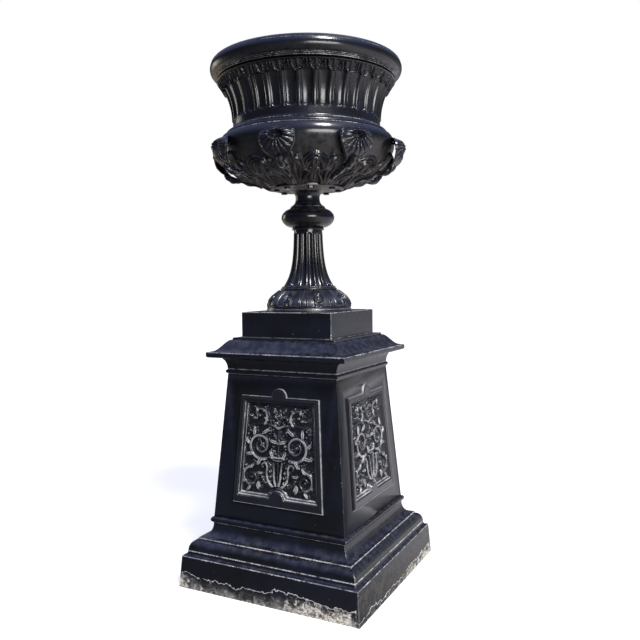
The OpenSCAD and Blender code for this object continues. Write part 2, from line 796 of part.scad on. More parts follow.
module neck_flange() {
    top = stem_top_d / 2 + 8;
    waist_z = neck_z + 0.45 * (neck_h - seat_t);
    color(paint) difference() {
        turned(concat(
            [[0, neck_z]],
            bead(top - 3, neck_z, knop_fillet_h - 2, 3, 6),
            quarter([top - 5, neck_z + knop_fillet_h - 2], [neck_d / 2, waist_z], false),
            quarter([neck_d / 2, waist_z + 2], [seat_pcd / 2 - bolt_d - 3, seat_z - seat_t], true),
            [[seat_d / 2 - 1, seat_z - seat_t], [seat_d / 2, seat_z - seat_t + 1], [seat_d / 2, seat_z], [0, seat_z]]));
        hole_up(2 * rod_hole_r, neck_z - 1, seat_z + 1);
        translate([0, 0, rod_pocket_z]) cylinder(h = seat_z, r = rod_pocket_r, $fn = 48);
        ring_of(8, seat_pcd / 2, seat_bolt_turn) hole_up(bolt_d, seat_z - seat_t - 1, seat_z + 1);
    }
}

// Tie rod through the foot, stem, knop and neck

rod_nut_h = nut_h * rod_d;
rod_low_z = foot_web_z - washer_t - rod_nut_h - 4;
rod_high_z = rod_pocket_z + washer_t + rod_nut_h + 4;

module tie_rod() {
    color(bare_iron) translate([0, 0, rod_low_z])
        cylinder(h = rod_high_z - rod_low_z, r = rod_d / 2, $fn = 48);
}

module tie_rod_washers() {
    color(bare_iron) for (z = [foot_web_z - washer_t, rod_pocket_z])
        translate([0, 0, z]) difference() {
            cylinder(h = washer_t, r = rod_pocket_r - 1, $fn = 48);
            translate([0, 0, -1]) cylinder(h = washer_t + 2, r = rod_d / 2 + fit, $fn = 48);
        }
}

module tie_rod_nuts() {
    color(bare_iron) {
        translate([0, 0, foot_web_z - washer_t - rod_nut_h]) nut(rod_d);
        translate([0, 0, rod_pocket_z + washer_t]) nut(rod_d);
    }
}

module seat_bolts() {
    color(bare_iron) ring_of(8, seat_pcd / 2, seat_bolt_turn) translate([0, 0, seat_z - seat_t])
        bolt_up(bolt_d, seat_t + floor_t + nut_h * bolt_d + 2);
}

module seat_nuts() {
    color(bare_iron) ring_of(8, seat_pcd / 2, seat_bolt_turn) translate([0, 0, seat_z + floor_t]) nut(bolt_d);
}

// Bowl body: a full underside up to the largest diameter, then a rounded shoulder to the seam

floor_t = bowl_wall + 2;
shoulder_run = 60;
shoulder_rise = 50;

function bowl_r(z) =
    z <= belly_z
    ? let (d = (belly_z - z) / belly_h)
        seat_d / 2 + (belly_d - seat_d) / 2 * pow(max(0, 1 - pow(d, underside_power)), 1 / underside_power)
    : belly_d / 2 - shoulder_run * (1 - sqrt(1 - pow((z - belly_z) / shoulder_rise, 2)));

function bowl_z(r) =
    let (x = max(0, (r - seat_d / 2) / ((belly_d - seat_d) / 2)))
    belly_z - belly_h * pow(max(0, 1 - pow(x, underside_power)), 1 / underside_power);

function bowl_underside(n) = [
    for (i = [0:n])
        let (r = between(seat_d / 2, belly_d / 2, sin(90 * i / n)))
        [r, bowl_z(r)]];

function bowl_shoulder(top, n) = [
    for (i = [1:n])
        let (z = between(belly_z, top, i / n))
        [bowl_r(z), z]];

module bowl_body() {
    floor_r = seat_d / 2 - bowl_wall;
    color(paint) difference() {
        turned(concat([[0, seat_z]], bowl_underside(14), bowl_shoulder(seam_z, 4), [[0, seam_z]]));
        turned(concat(
            [[0, seat_z + floor_t], [floor_r, seat_z + floor_t]],
            [for (p = bowl_underside(10)) if (p[0] > seat_d / 2 + 4) [p[0] - bowl_wall, p[1] + floor_t]],
            [[bowl_r(seam_z) - bowl_wall - 2, seam_z - flange_t], [seam_flange_r, seam_z - flange_t],
                [seam_flange_r, seam_z + 1], [0, seam_z + 1]]));
        translate([0, 0, seat_z - 1]) cylinder(h = floor_t + 2, r = rod_pocket_r, $fn = 48);
        ring_of(8, seat_pcd / 2, seat_bolt_turn) hole_up(bolt_d, seat_z - 1, seat_z + floor_t + 1);
        ring_of(8, seam_bolt_r, seat_bolt_turn) hole_up(screw_d, seam_z - flange_t - 1, seam_z + 1);
        handle_places() translate([0, 0, screw_z]) rotate([90, 0, 0])
            translate([0, 0, belly_d / 2 - 30]) cylinder(h = 40, r = screw_d / 2 + fit, $fn = 24);
    }
}

// Bowl neck: torus, plain band, flutes that flare outward and a band of tongues

flute_z = seam_z + torus_h + 4 + band_h;
tongue_z = rim_z - tongue_h;
throat_land = 0.38;
stud_depth = 9;
flare_rise = rim_z - flute_z;
flare_run = tongue_root_r - tongue_out - throat_d / 2;
flare_radius = (pow(flare_rise, 2) + pow(flare_run, 2)) / (2 * flare_run);

function throat_r(z) =
    throat_d / 2 + flare_radius - sqrt(pow(flare_radius, 2) - pow(max(0, z - flute_z), 2));

// The tongues hang over the lands, wide at the rim and narrow at their tips
function tongue(z, t) =
    let (reach = rounded_end((z - tongue_z + 2) / 26), off = min(t, 1 - t) * (1 - throat_land) + throat_land / 2)
    z < tongue_z ? 0 : off <= reach / 2 + 0.01 ? tongue_out : 0;

function throat_ring(z, facets) = [
    for (i = [0:throat_flutes - 1], j = [0:facets])
        let (
            a = handle_turn + 360 / throat_flutes * (i + throat_land / 2 + (1 - throat_land) * j / facets),
            cut = throat_flute_depth * rounded_end((z - flute_z) / 12) * flute_share(j / facets),
            r = throat_r(z) - cut * (1 - rounded_end((z - tongue_z) / 30)) + tongue(z, j / facets))
        [r * cos(a), r * sin(a), z]];

function plain_ring(r, z, facets) = [
    for (i = [0:throat_flutes - 1], j = [0:facets])
        let (a = handle_turn + 360 / throat_flutes * (i + throat_land / 2 + (1 - throat_land) * j / facets))
        [r * cos(a), r * sin(a), z]];

module bowl_neck() {
    facets = 3;
    foot_r0 = bowl_r(seam_z) - 4;
    top_r = throat_r(rim_z) + tongue_out;
    outline = concat(
        quarter([foot_r0, seam_z + 2], [throat_d / 2 + 8, seam_z + torus_h], true, 4),
        [[throat_d / 2 + 4, seam_z + torus_h], [throat_d / 2 + 4, seam_z + torus_h + 3],
            [throat_d / 2, seam_z + torus_h + 6]]);
    color(paint) difference() {
        ring_shell(concat(
            [plain_ring(foot_r0, seam_z, facets)],
            [for (p = outline) plain_ring(p[0], p[1], facets)],
            [for (z = [flute_z, flute_z + 4, flute_z + 12, between(flute_z, tongue_z, 0.6)])
                throat_ring(z, facets)],
            [for (t = [0, 0.2, 0.5, 0.8]) throat_ring(between(tongue_z, rim_z, t), facets)],
            [plain_ring(top_r, rim_z - 3, facets), plain_ring(top_r, rim_z, facets)],
            [plain_ring(rim_flange_r, rim_z, facets), plain_ring(rim_flange_r, rim_z - flange_t, facets)],
            [for (z = [rim_z - flange_t, between(tongue_z, rim_z, 0.3), flute_z, seam_z])
                plain_ring(throat_r(z) - throat_inner_wall, z, facets)]));
        ring_of(8, seam_bolt_r, seat_bolt_turn) hole_up(screw_d, seam_z - 1, seam_z + stud_depth + 1);
        ring_of(8, rim_screw_r, seat_bolt_turn) hole_up(screw_d, rim_z - flange_t - 1, rim_z + 1);
    }
}

// Studs that stand in the neck's foot and take their nuts under the body's flange
module seam_bolts() {
    low = seam_z - flange_t - nut_h * screw_d - 2;
    color(bare_iron) ring_of(8, seam_bolt_r, seat_bolt_turn) translate([0, 0, low])
        cylinder(h = seam_z + stud_depth - low, r = screw_d / 2, $fn = 24);
}

module seam_nuts() {
    color(bare_iron) ring_of(8, seam_bolt_r, seat_bolt_turn)
        translate([0, 0, seam_z - flange_t - nut_h * screw_d]) nut(screw_d);
}

// Rolled rim

// Share of the rim's height at which it is widest
rim_widest = 0.42;

module bowl_rim() {
    edge = rim_d / 2;
    wide_z = rim_z + rim_widest * rim_h;
    start = throat_r(rim_z) + tongue_out;
    lip_r = edge - 13.5;
    top_z = rim_z + rim_h;
    color(paint) difference() {
        turned(concat(
            [[rim_flange_r, rim_z], [start, rim_z]],
            bead(start, rim_z, 6, 3, 6),
            quarter([start, rim_z + 7], [edge, wide_z], false),
            quarter([edge, wide_z], [lip_r, top_z], true),
            quarter([lip_r - 14, top_z], [lip_r - 18, top_z - 5], false, 4),
            [[lip_r - 18, top_z - 12], [lip_r - rim_wall, top_z - 20],
                [edge - rim_wall, wide_z + 2], [start - rim_wall + 6, rim_z + 14],
                [start - rim_wall - 8, rim_z + flange_t], [rim_flange_r, rim_z + flange_t]]));
        ring_of(8, rim_screw_r, seat_bolt_turn) hole_up(screw_d, rim_z - 1, rim_z + flange_t + 1);
    }
}

module rim_screws() {
    color(bare_iron) ring_of(8, rim_screw_r, seat_bolt_turn) translate([0, 0, rim_z + flange_t])
        rotate([180, 0, 0]) bolt_up(screw_d, 2 * flange_t);
}

// Scroll handles: a stalk under the bowl that swells into a ribbed shell and rolls over at its tip

handle_seat = 1;

// Offset from the bowl's largest diameter, half width as a share of the handle's, and half thickness
shell_path = [
    [-14, -79, 0.36, 8], [1, -70, 0.54, 9], [12, -61, 0.72, 9], [18, -50, 0.86, 9.5], [17, -36, 0.96, 9],
    [19, -24, 1, 13], [18, -11, 0.97, 17], [14, 1, 0.82, 14], [8, 9, 0.5, 5]];

function unit(v) = v / norm(v);
function stalk_station(t) =
    let (
        r = between(seat_d / 2 + 16, belly_d / 2 - 46, t),
        slope = unit([1, (bowl_z(r + 1) - bowl_z(r - 1)) / 2]),
        at = [r, bowl_z(r)] + [slope[1], -slope[0]] * (stalk_t / 2 + handle_seat))
    [at[0], at[1], stalk_w / 2 * (0.8 + 0.5 * t), stalk_t / 2];

function handle_stations() = concat(
    [for (t = [0:0.25:1]) stalk_station(t)],
    [for (p = shell_path) [belly_d / 2 + p[0], belly_z + p[1], handle_w / 2 * p[2], p[3]]]);

// Keeps a point of the handle just outside the bowl, pushed down on its underside and outward above it
function clear_of_bowl(r, z) =
    z < belly_z - 0.55 * belly_h
    ? [r, min(z, bowl_z(r) - handle_seat)]
    : [max(r, bowl_r(min(z, belly_z + shoulder_rise)) + handle_seat), z];

function handle_section(station, along, n) =
    let (across = [along[1], -along[0]])
    [for (j = [0:n - 1])
        let (
            a = 360 * j / n,
            p = [station[0], station[1]] + across * station[3] * sin(a),
            q = clear_of_bowl(p[0], p[1]),
            turn = station[2] * cos(a) / q[0] * 180 / PI)
        [q[0] * sin(turn), -q[0] * cos(turn), q[1]]];

module handle_body() {
    n = 12;
    stations = handle_stations();
    m = len(stations);
    sections = [for (i = [0:m - 1])
        let (p = stations[max(0, i - 1)], q = stations[min(m - 1, i + 1)])
        handle_section(stations[i], unit([q[0] - p[0], q[1] - p[1]]), n)];
    polyhedron(
        [for (s = sections) each s],
        concat(
            [for (i = [0:m - 2], j = [0:n - 1])
                let (k = (j + 1) % n)
                each [[i * n + j, (i + 1) * n + j, (i + 1) * n + k], [i * n + j, (i + 1) * n + k, i * n + k]]],
            [[for (j = [0:n - 1]) j], [for (j = [n - 1:-1:0]) (m - 1) * n + j]]));
}

module handle_places() {
    for (i = [0:7]) rotate([0, 0, handle_turn + 45 * i]) children();
}

module scroll_handle(i) {
    color(paint_light) rotate([0, 0, handle_turn + 45 * (i - 1)]) difference() {
        handle_body();
        translate([0, 0, screw_z]) rotate([90, 0, 0]) translate([0, 0, belly_d / 2 - 10])
            cylinder(h = 24, r = screw_d / 2 + fit, $fn = 24);
    }
}

module handle_screws() {
    inside = bowl_r(screw_z - floor_t - screw_d) - bowl_wall - 0.5;
    color(bare_iron) handle_places() translate([0, 0, screw_z]) rotate([90, 0, 0]) {
        translate([0, 0, inside - head_h * screw_d]) hexagon(screw_d, head_h * screw_d);
        translate([0, 0, inside - 1]) cylinder(h = 22, r = screw_d / 2, $fn = 24);
    }
}

base_moulding();
base_bolts();
base_nuts();
for (s = [0:3]) shaft_plate(s);
for (s = [0:3]) relief_panel(s);
for (i = [1:4]) corner_angle(i);
corner_screws();
panel_cleats();
panel_screws();
cap_cornice();
cap_bolts();
cap_nuts();
urn_block();
urn_foot();
foot_bolts();
foot_nuts();
urn_stem();
stem_knop();
neck_flange();
tie_rod();
tie_rod_washers();
tie_rod_nuts();
seat_bolts();
seat_nuts();
bowl_body();
bowl_neck();
seam_bolts();
seam_nuts();
bowl_rim();
rim_screws();
for (i = [1:8]) scroll_handle(i);
handle_screws();
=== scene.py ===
import json
import math

import bpy
import numpy as np
from mathutils import Matrix


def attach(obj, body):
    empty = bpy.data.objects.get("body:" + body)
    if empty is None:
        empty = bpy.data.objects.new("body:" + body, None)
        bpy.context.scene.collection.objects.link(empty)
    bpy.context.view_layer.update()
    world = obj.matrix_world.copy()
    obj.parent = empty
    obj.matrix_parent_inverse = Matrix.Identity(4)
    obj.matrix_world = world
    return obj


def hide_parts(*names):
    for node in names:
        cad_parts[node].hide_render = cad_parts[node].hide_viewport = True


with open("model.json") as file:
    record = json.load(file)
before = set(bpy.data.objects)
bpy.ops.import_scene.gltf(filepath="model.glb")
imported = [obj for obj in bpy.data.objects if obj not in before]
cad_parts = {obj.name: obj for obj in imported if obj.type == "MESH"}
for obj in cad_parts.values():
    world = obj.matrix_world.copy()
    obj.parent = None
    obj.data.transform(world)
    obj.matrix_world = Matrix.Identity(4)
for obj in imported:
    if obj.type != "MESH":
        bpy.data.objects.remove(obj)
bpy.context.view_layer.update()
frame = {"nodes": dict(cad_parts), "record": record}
scene = bpy.context.scene
TURN = 2 * math.pi
QUARTERS = [(1, 0), (0, 1), (-1, 0), (0, -1)]

# Heights where the courses start, in mm, as in the solids
SHAFT_Z, CAP_Z, URN_Z, FOOT_Z, STEM_Z = 208.0, 650.0, 765.0, 844.0, 910.0
KNOP_Z, NECK_Z, SEAT_Z, BELLY_Z, SEAM_Z = 1100.0, 1171.0, 1238.0, 1360.0, 1388.0
FLUTE_Z, RIM_Z, HANDLE_Z = 1436.0, 1562.0, 1340.0

# Half widths of the square courses and radii of the round ones
BASE_A, SHAFT_A, SHAFT_TOP_A, LIP_A, LEDGE_A, BLOCK_A = 305.0, 225.0, 188.5, 237.0, 177.0, 156.0
SEAT_R, BELLY_R, THROAT_R, FLARE_R = 116.0, 276.0, 232.0, 205.0
STEM_FOOT_R, STEM_TOP_R = 90.0, 44.0
ROD_R, FOOT_BORE_R, BLOCK_BORE_R = 9.5, 96.5, 82.5
BASE_WALL, BLOCK_WALL, BOWL_WALL = 10.0, 8.0, 8.0

# Repeats around the urn and where they start, in degrees from the front
FOOT_LEAVES, STEM_FLUTES, REEDS, HANDLES = 16, 16, 32, 8
FOOT_TURN, HANDLE_TURN = 42.0, 11.6


# Curves
def arc(p, q, climb, n=14):
    """A quarter ellipse from p to q that leaves p upright (climb) or level."""
    t = np.linspace(0, math.pi / 2, n + 1)
    x, z = (1 - np.cos(t), np.sin(t)) if climb else (np.sin(t), 1 - np.cos(t))
    return [(p[0] + (q[0] - p[0]) * a, p[1] + (q[1] - p[1]) * b) for a, b in zip(x, z)]


def bead(x, z, h, out, n=16):
    """A half round from x, z up to z + h that stands out."""
    t = np.linspace(-math.pi / 2, math.pi / 2, n + 1)
    return [(x + out * math.cos(a), z + h / 2 + h / 2 * math.sin(a)) for a in t]


def raised(points, z):
    """The outline, moved up."""
    return [(r, z + up) for r, up in points]


def soften(points, radius=1.0, n=3, least=24):
    """Rounds the corners that turn by more than the least angle."""
    p = [np.array(q, float) for q in points]
    out = [p[0]]
    for a, b, c in zip(p[:-2], p[1:-1], p[2:]):
        u, v = a - b, c - b
        lu, lv = np.linalg.norm(u), np.linalg.norm(v)
        if lu < 1e-6 or lv < 1e-6:
            continue
        turn = 180 - math.degrees(math.acos(np.clip(u @ v / lu / lv, -1, 1)))
        if turn < least:
            out.append(b)
            continue
        r = min(radius, 0.45 * lu, 0.45 * lv)
        s, e = b + u / lu * r, b + v / lv * r
        for t in np.linspace(0, 1, n + 1):
            out.append((1 - t) ** 2 * s + 2 * t * (1 - t) * b + t * t * e)
    out.append(p[-1])
    return np.array(out)


def fine(points, step):
    """Adds points, no further apart than the step."""
    p = np.array(points, float)
    out = [p[:1]]
    for a, b in zip(p[:-1], p[1:]):
        k = max(1, math.ceil(np.linalg.norm(b - a) / step))
        t = np.arange(1, k + 1)[:, None] / k
        out.append(a + (b - a) * t)
    return np.vstack(out)


def hold(points, reach=2.2):
    """Adds points near the ends of long stretches, to keep wear at the edges."""
    p = np.array(points, float)
    out = [p[0]]
    for a, b in zip(p[:-1], p[1:]):
        n = np.linalg.norm(b - a)
        if n > 3 * reach:
            out += [a + (b - a) * reach / n, b - (b - a) * reach / n]
        out.append(b)
    return np.array(out)


def spline(points, n=8):
    """A smooth curve through the points."""
    p = np.array(points, float)
    p = np.vstack([2 * p[0] - p[1], p, 2 * p[-1] - p[-2]])
    out = []
    for a, b, c, d in zip(p[:-3], p[1:-2], p[2:-1], p[3:]):
        for t in np.arange(n) / n:
            out.append(0.5 * (2 * b + (c - a) * t + (2 * a - 5 * b + 4 * c - d) * t * t
                              + (3 * b - a - 3 * c + d) * t ** 3))
    out.append(p[-2])
    return np.array(out)


def spiral(cx, cy, r0, r1, a0, a1, n, power=0.8):
    """A spiral around cx, cy from radius r0 at the angle a0 to r1 at a1."""
    t = np.linspace(0, 1, n + 1)
    r = r0 + (r1 - r0) * t ** power
    a = np.radians(a0 + (a1 - a0) * t)
    return np.stack([cx + r * np.cos(a), cy + r * np.sin(a)], -1)


def smooth(lo, hi, x):
    """0 at lo, 1 at hi, smooth between."""
    t = np.clip((x - lo) / (hi - lo), 0, 1)
    return t * t * (3 - 2 * t)


def half_round(q):
    """1 at 0, falling like a half circle to 0 at 1."""
    return np.sqrt(np.clip(1 - q ** 2, 0, 1))


def hump(x, at, width):
    """A bell, 1 high."""
    return np.exp(-((x - at) / width) ** 2)


def lag(half, off):
    """How far a flute's round end falls back, off its middle."""
    return half - np.sqrt(np.clip(half ** 2 - off ** 2, 0, None))


def from_nearest(x, period):
    """How far x is from the nearest whole period."""
    return (x + period / 2) % period - period / 2


def lengths(points):
    """The way along an outline to each point."""
    return np.hstack([0, np.cumsum(np.linalg.norm(np.diff(points, axis=0), axis=1))])


def convexity(points):
    """How tightly an outline turns outward at each point, 0 to 1."""
    d = np.diff(points, axis=0)
    n = np.linalg.norm(d, axis=1) + 1e-9
    turn = np.arcsin(np.clip((d[:-1, 0] * d[1:, 1] - d[:-1, 1] * d[1:, 0]) / n[:-1] / n[1:], -1, 1))
    return np.clip((np.pad(turn / (0.5 * (n[:-1] + n[1:])), 1) - 0.22) * 2.5, 0, 1)


def spread(points, marks, width):
    """Carries each mark along the outline, less with distance."""
    at = lengths(points)
    near = np.clip(1.25 - np.abs(at[:, None] - at[None, :]) / width, 0, 1)
    return (near * marks[None, :]).max(1)


# Meshes
def quads(rows, cols, wrap_rows=False, wrap_cols=True):
    """The corners of each face in a grid of points."""
    i = np.arange(rows if wrap_rows else rows - 1)[:, None]
    j = np.arange(cols if wrap_cols else cols - 1)[None, :]
    k, m = (i + 1) % rows, (j + 1) % cols
    corners = np.broadcast_arrays(i * cols + j, i * cols + m, k * cols + m, k * cols + j)
    return np.stack(corners, -1).reshape(-1, 4)


def place(name, data):
    """A new object in the scene."""
    obj = bpy.data.objects.new(name, data)
    scene.collection.objects.link(obj)
    return obj


def shade(mesh, angle):
    """Smooth faces, with sharp edges where they turn by more than the angle."""
    mesh.polygons.foreach_set("use_smooth", [True] * len(mesh.polygons))
    mesh.set_sharp_from_angle(angle=math.radians(angle))


def add(name, verts, faces, worn, material, body, node=None, angle=40):
    """A piece, from mm, that rides on a body and replaces one of its solids."""
    mesh = bpy.data.meshes.new(name)
    mesh.from_pydata((np.asarray(verts, float) * 0.001).tolist(), [], [list(map(int, f)) for f in faces])
    shade(mesh, angle)
    layer = mesh.attributes.new("worn", "FLOAT", "POINT")
    layer.data.foreach_set("value", np.asarray(worn, np.float32).ravel())
    mesh.materials.append(material)
    mesh.update()
    obj = place(name, mesh)
    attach(obj, body)
    if node:
        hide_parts(node)


def lathe(name, outer, inner, cols, material, node, relief=None, worn=None, angle=40):
    """A closed shell around Z: the outer outline going up, carved, and the inner coming down."""
    outer, inner = np.asarray(outer, float), np.asarray(inner, float)
    az = np.arange(cols) / cols * TURN
    step = np.gradient(outer, axis=0)
    normal = np.stack([step[:, 1], -step[:, 0]], -1)
    normal /= np.linalg.norm(normal, axis=1)[:, None] + 1e-9
    h = np.zeros((len(outer), cols)) if relief is None else relief(az, outer)
    r = np.vstack([outer[:, :1] + normal[:, :1] * h, np.repeat(inner[:, :1], cols, 1)])
    z = np.vstack([outer[:, 1:] + normal[:, 1:] * h, np.repeat(inner[:, 1:], cols, 1)])
    verts = np.stack([r * np.sin(az), r * -np.cos(az), z], -1).reshape(-1, 3)
    mark = np.hstack([convexity(outer), np.zeros(len(inner))])
    mark = np.repeat(mark[:, None], cols, 1)
    if worn is not None:
        mark[:len(outer)] = np.maximum(mark[:len(outer)], worn(h))
    add(name, verts, quads(len(r), cols, True), mark, material, "urn", node, angle=angle)


def turned_about(verts, quarter):
    """The points, quarter turns around Z."""
    v = np.asarray(verts, float)
    c, s = QUARTERS[quarter]
    return np.stack([c * v[:, 0] - s * v[:, 1], s * v[:, 0] + c * v[:, 1], v[:, 2]], -1)


def square_ring(a, z, corner, edge=2.2):
    """Level rounded square, of nine points along each side and five round each corner."""
    flat = a - corner
    end, t = flat - edge, np.linspace(0, math.pi / 2, 5)
    x = np.hstack([np.full(9, a), flat + corner * np.cos(t)])
    y = np.hstack([-end, flat * np.linspace(-1, 1, 9)[1:-1], end, flat + corner * np.sin(t)])
    side = np.stack([x, y, np.full(14, z)], -1)
    return np.vstack([turned_about(side, k) for k in range(4)])


def square_turned(name, outer, inner, corner, material, body, node, wear=2.2):
    """A closed square shell, worn along its edges and up its corners."""
    outer = fine(hold(fine(outer, 30)), 4)
    edge = spread(outer, convexity(outer), wear)
    run = np.gradient(outer, axis=0)
    steep = np.abs(run[:, 1]) / (np.hypot(run[:, 0], run[:, 1]) + 1e-9)
    at_corner = np.tile([0] * 9 + [1] * 5, 4)
    worn = np.maximum(edge[:, None], 0.6 * at_corner * steep[:, None])
    worn = np.vstack([worn] + [0 * at_corner] * len(inner))
    rings = [square_ring(a, z, corner) for a, z in outer] + [square_ring(a, z, 0.3) for a, z in inner]
    add(name, np.vstack(rings), quads(*worn.shape, True), worn, material, body, node)


# Carving
def leaf(x, y, x0, y0, deg, length, width, high, bend=0.0, lobes=0, vein=0.2):
    """Height of a leaf that grows from x0, y0 at an angle from +Y toward +X."""
    s, c = math.sin(math.radians(deg)), math.cos(math.radians(deg))
    p = (x - x0) * s + (y - y0) * c
    t = np.clip(p / length, 0, 1)
    q = (x - x0) * c - (y - y0) * s - bend * t * t
    w = width / 2 * np.sin(math.pi * t ** 0.75) ** 0.8 + 0.01
    if lobes:
        w = w * (0.74 + 0.26 * np.abs(np.cos(math.pi * lobes * (t - 0.12 * np.abs(q) / width))))
    body = half_round(q / w)
    h = high * body - high * vein * hump(q, 0, 0.09 * width + 0.4) * (t > 0.05)
    if lobes:
        h = h - high * 0.14 * (1 - np.cos(TURN * (lobes * t - 0.55 * np.abs(q) / w))) * (body > 0)
    return np.where((p > 0) & (p < length), np.maximum(h, 0), 0)


def stem(x, y, points, w0, w1, high, ridge=0.0):
    """Height of a band along a path, of half width w0 at its start and w1 at its end."""
    p = np.array(points, float)
    h = 0
    for i, (a, d) in enumerate(zip(p, np.diff(p, axis=0))):
        w = w0 + (w1 - w0) * (i + 0.5) / (len(p) - 1)
        px, py = x - a[0], y - a[1]
        t = np.clip((px * d[0] + py * d[1]) / (d @ d + 1e-9), 0, 1)
        q = np.hypot(px - t * d[0], py - t * d[1]) / w
        body = high * (0.45 + 0.55 * w / max(w0, w1)) * half_round(q)
        h = np.maximum(h, body * (1 - ridge * hump(q, 0, 0.22)))
    return h


def dome(x, y, x0, y0, r, high):
    """Height of a round boss."""
    return high * half_round(np.hypot(x - x0, y - y0) / r)


def rosette(x, y, x0, y0, r, high, petals=5):
    """Height of a flower with a boss in its middle."""
    d, a = np.hypot(x - x0, y - y0), np.arctan2(y - y0, x - x0)
    edge = r * (0.72 + 0.28 * np.abs(np.cos(petals * a / 2)))
    return np.maximum(0.75 * high * half_round(d / edge), dome(x, y, x0, y0, 0.4 * r, high))


def highest(x, y, forms):
    """The highest of many forms, each a function and what it takes after x, y."""
    return np.maximum.reduce([form(x, y, *rest) for form, *rest in forms])


# Materials
class Tree:
    """The nodes of one material or world."""

    def __init__(self, name, world=False):
        self.mat = (bpy.data.worlds if world else bpy.data.materials).new(name)
        self.mat.use_nodes = True
        self.tree = self.mat.node_tree
        self.shader = self.tree.nodes["Background" if world else "Principled BSDF"]
        self.coord = self.node("ShaderNodeTexCoord").outputs["Generated" if world else "Object"]

    def put(self, socket, value):
        if hasattr(value, "links"):
            self.tree.links.new(value, socket)
        else:
            socket.default_value = value

    def fill(self, node, inputs):
        """Puts values or links in a node's sockets, with _ for a space."""
        for key, value in inputs.items():
            self.put(node.inputs[key.replace("_", " ")], value)
        return node

    def node(self, kind, **inputs):
        return self.fill(self.tree.nodes.new(kind), inputs)

    def done(self, **inputs):
        """The finished material or world."""
        self.fill(self.shader, inputs)
        return self.mat

    def math(self, op, a, b):
        n = self.tree.nodes.new("ShaderNodeMath")
        n.operation = op
        self.put(n.inputs[0], a)
        self.put(n.inputs[1], b)
        return n.outputs[0]

    def times(self, a, b):
        return self.math("MULTIPLY", a, b)

    def plus(self, a, b):
        return self.math("ADD", a, b)

    def most(self, a, b):
        return self.math("MAXIMUM", a, b)

    def noise(self, scale, detail=3.0, rough=0.55):
        n = self.node("ShaderNodeTexNoise", Vector=self.coord, Scale=scale, Detail=detail, Roughness=rough)
        return n.outputs["Fac"]

    def step(self, value, lo, hi):
        """The same as smooth()."""
        n = self.node("ShaderNodeMapRange", Value=value, From_Min=min(lo, hi), From_Max=max(lo, hi),
                      To_Min=float(lo > hi), To_Max=float(lo < hi))
        n.interpolation_type = "SMOOTHSTEP"
        return n.outputs["Result"]

    def mix(self, fac, a, b):
        n = self.tree.nodes.new("ShaderNodeMix")
        n.data_type = "RGBA"
        self.put(n.inputs[0], fac)
        for socket, value in ((n.inputs[6], a), (n.inputs[7], b)):
            self.put(socket, (*value, 1) if isinstance(value, tuple) else value)
        return n.outputs[2]

    def cover(self, colour, share, most, over):
        """The colour with at most that much of another over it."""
        return self.mix(self.times(share, most), colour, over)

    def axis(self, which, of=None):
        n = self.tree.nodes.new("ShaderNodeSeparateXYZ")
        self.put(n.inputs[0], self.coord if of is None else of)
        return n.outputs[which]

    def bump(self, height, depth, strength, **under):
        n = self.node("ShaderNodeBump", Strength=strength, Distance=depth, Height=height, **under)
        return n.outputs["Normal"]


# Colours of the paint, from clean to dusty, and of what shows where it is gone; the edge rub also stands for
# a painted highlight, the right face's brown mottle for a painted reflection and the flange's dusty underside
# for painted bounce light
DARK, NAVY = (0.0040, 0.0044, 0.0056), (0.0068, 0.0080, 0.0160)
FILM, UNDERSIDE, DUST_AND_BOUNCE = (0.15, 0.155, 0.175), (0.034, 0.027, 0.020), (0.23, 0.195, 0.16)
SPOT, CHIP = (0.42, 0.41, 0.38), (0.50, 0.48, 0.44)
# pale rub along edges and relief tops: wear, and a painted highlight there
RUB_HIGHLIGHT, RUB_HIGHLIGHT_PALE = (0.36, 0.365, 0.39), (0.66, 0.63, 0.57)
CREAM, TAN, GREY = (0.80, 0.76, 0.66), (0.42, 0.36, 0.27), (0.30, 0.29, 0.27)
PIT, GRIME_AND_REFLECTION, CRACK = (0.06, 0.058, 0.055), (0.095, 0.082, 0.062), (0.66, 0.65, 0.62)


def specks(t, scale, size, share):
    """Small scattered dots."""
    v = t.node("ShaderNodeTexVoronoi", Vector=t.coord, Scale=scale).outputs
    picked = t.step(t.axis(0, v["Color"]), 1 - share, 1 - share + 0.02)
    return t.times(t.step(v["Distance"], size, size * 0.55), picked)


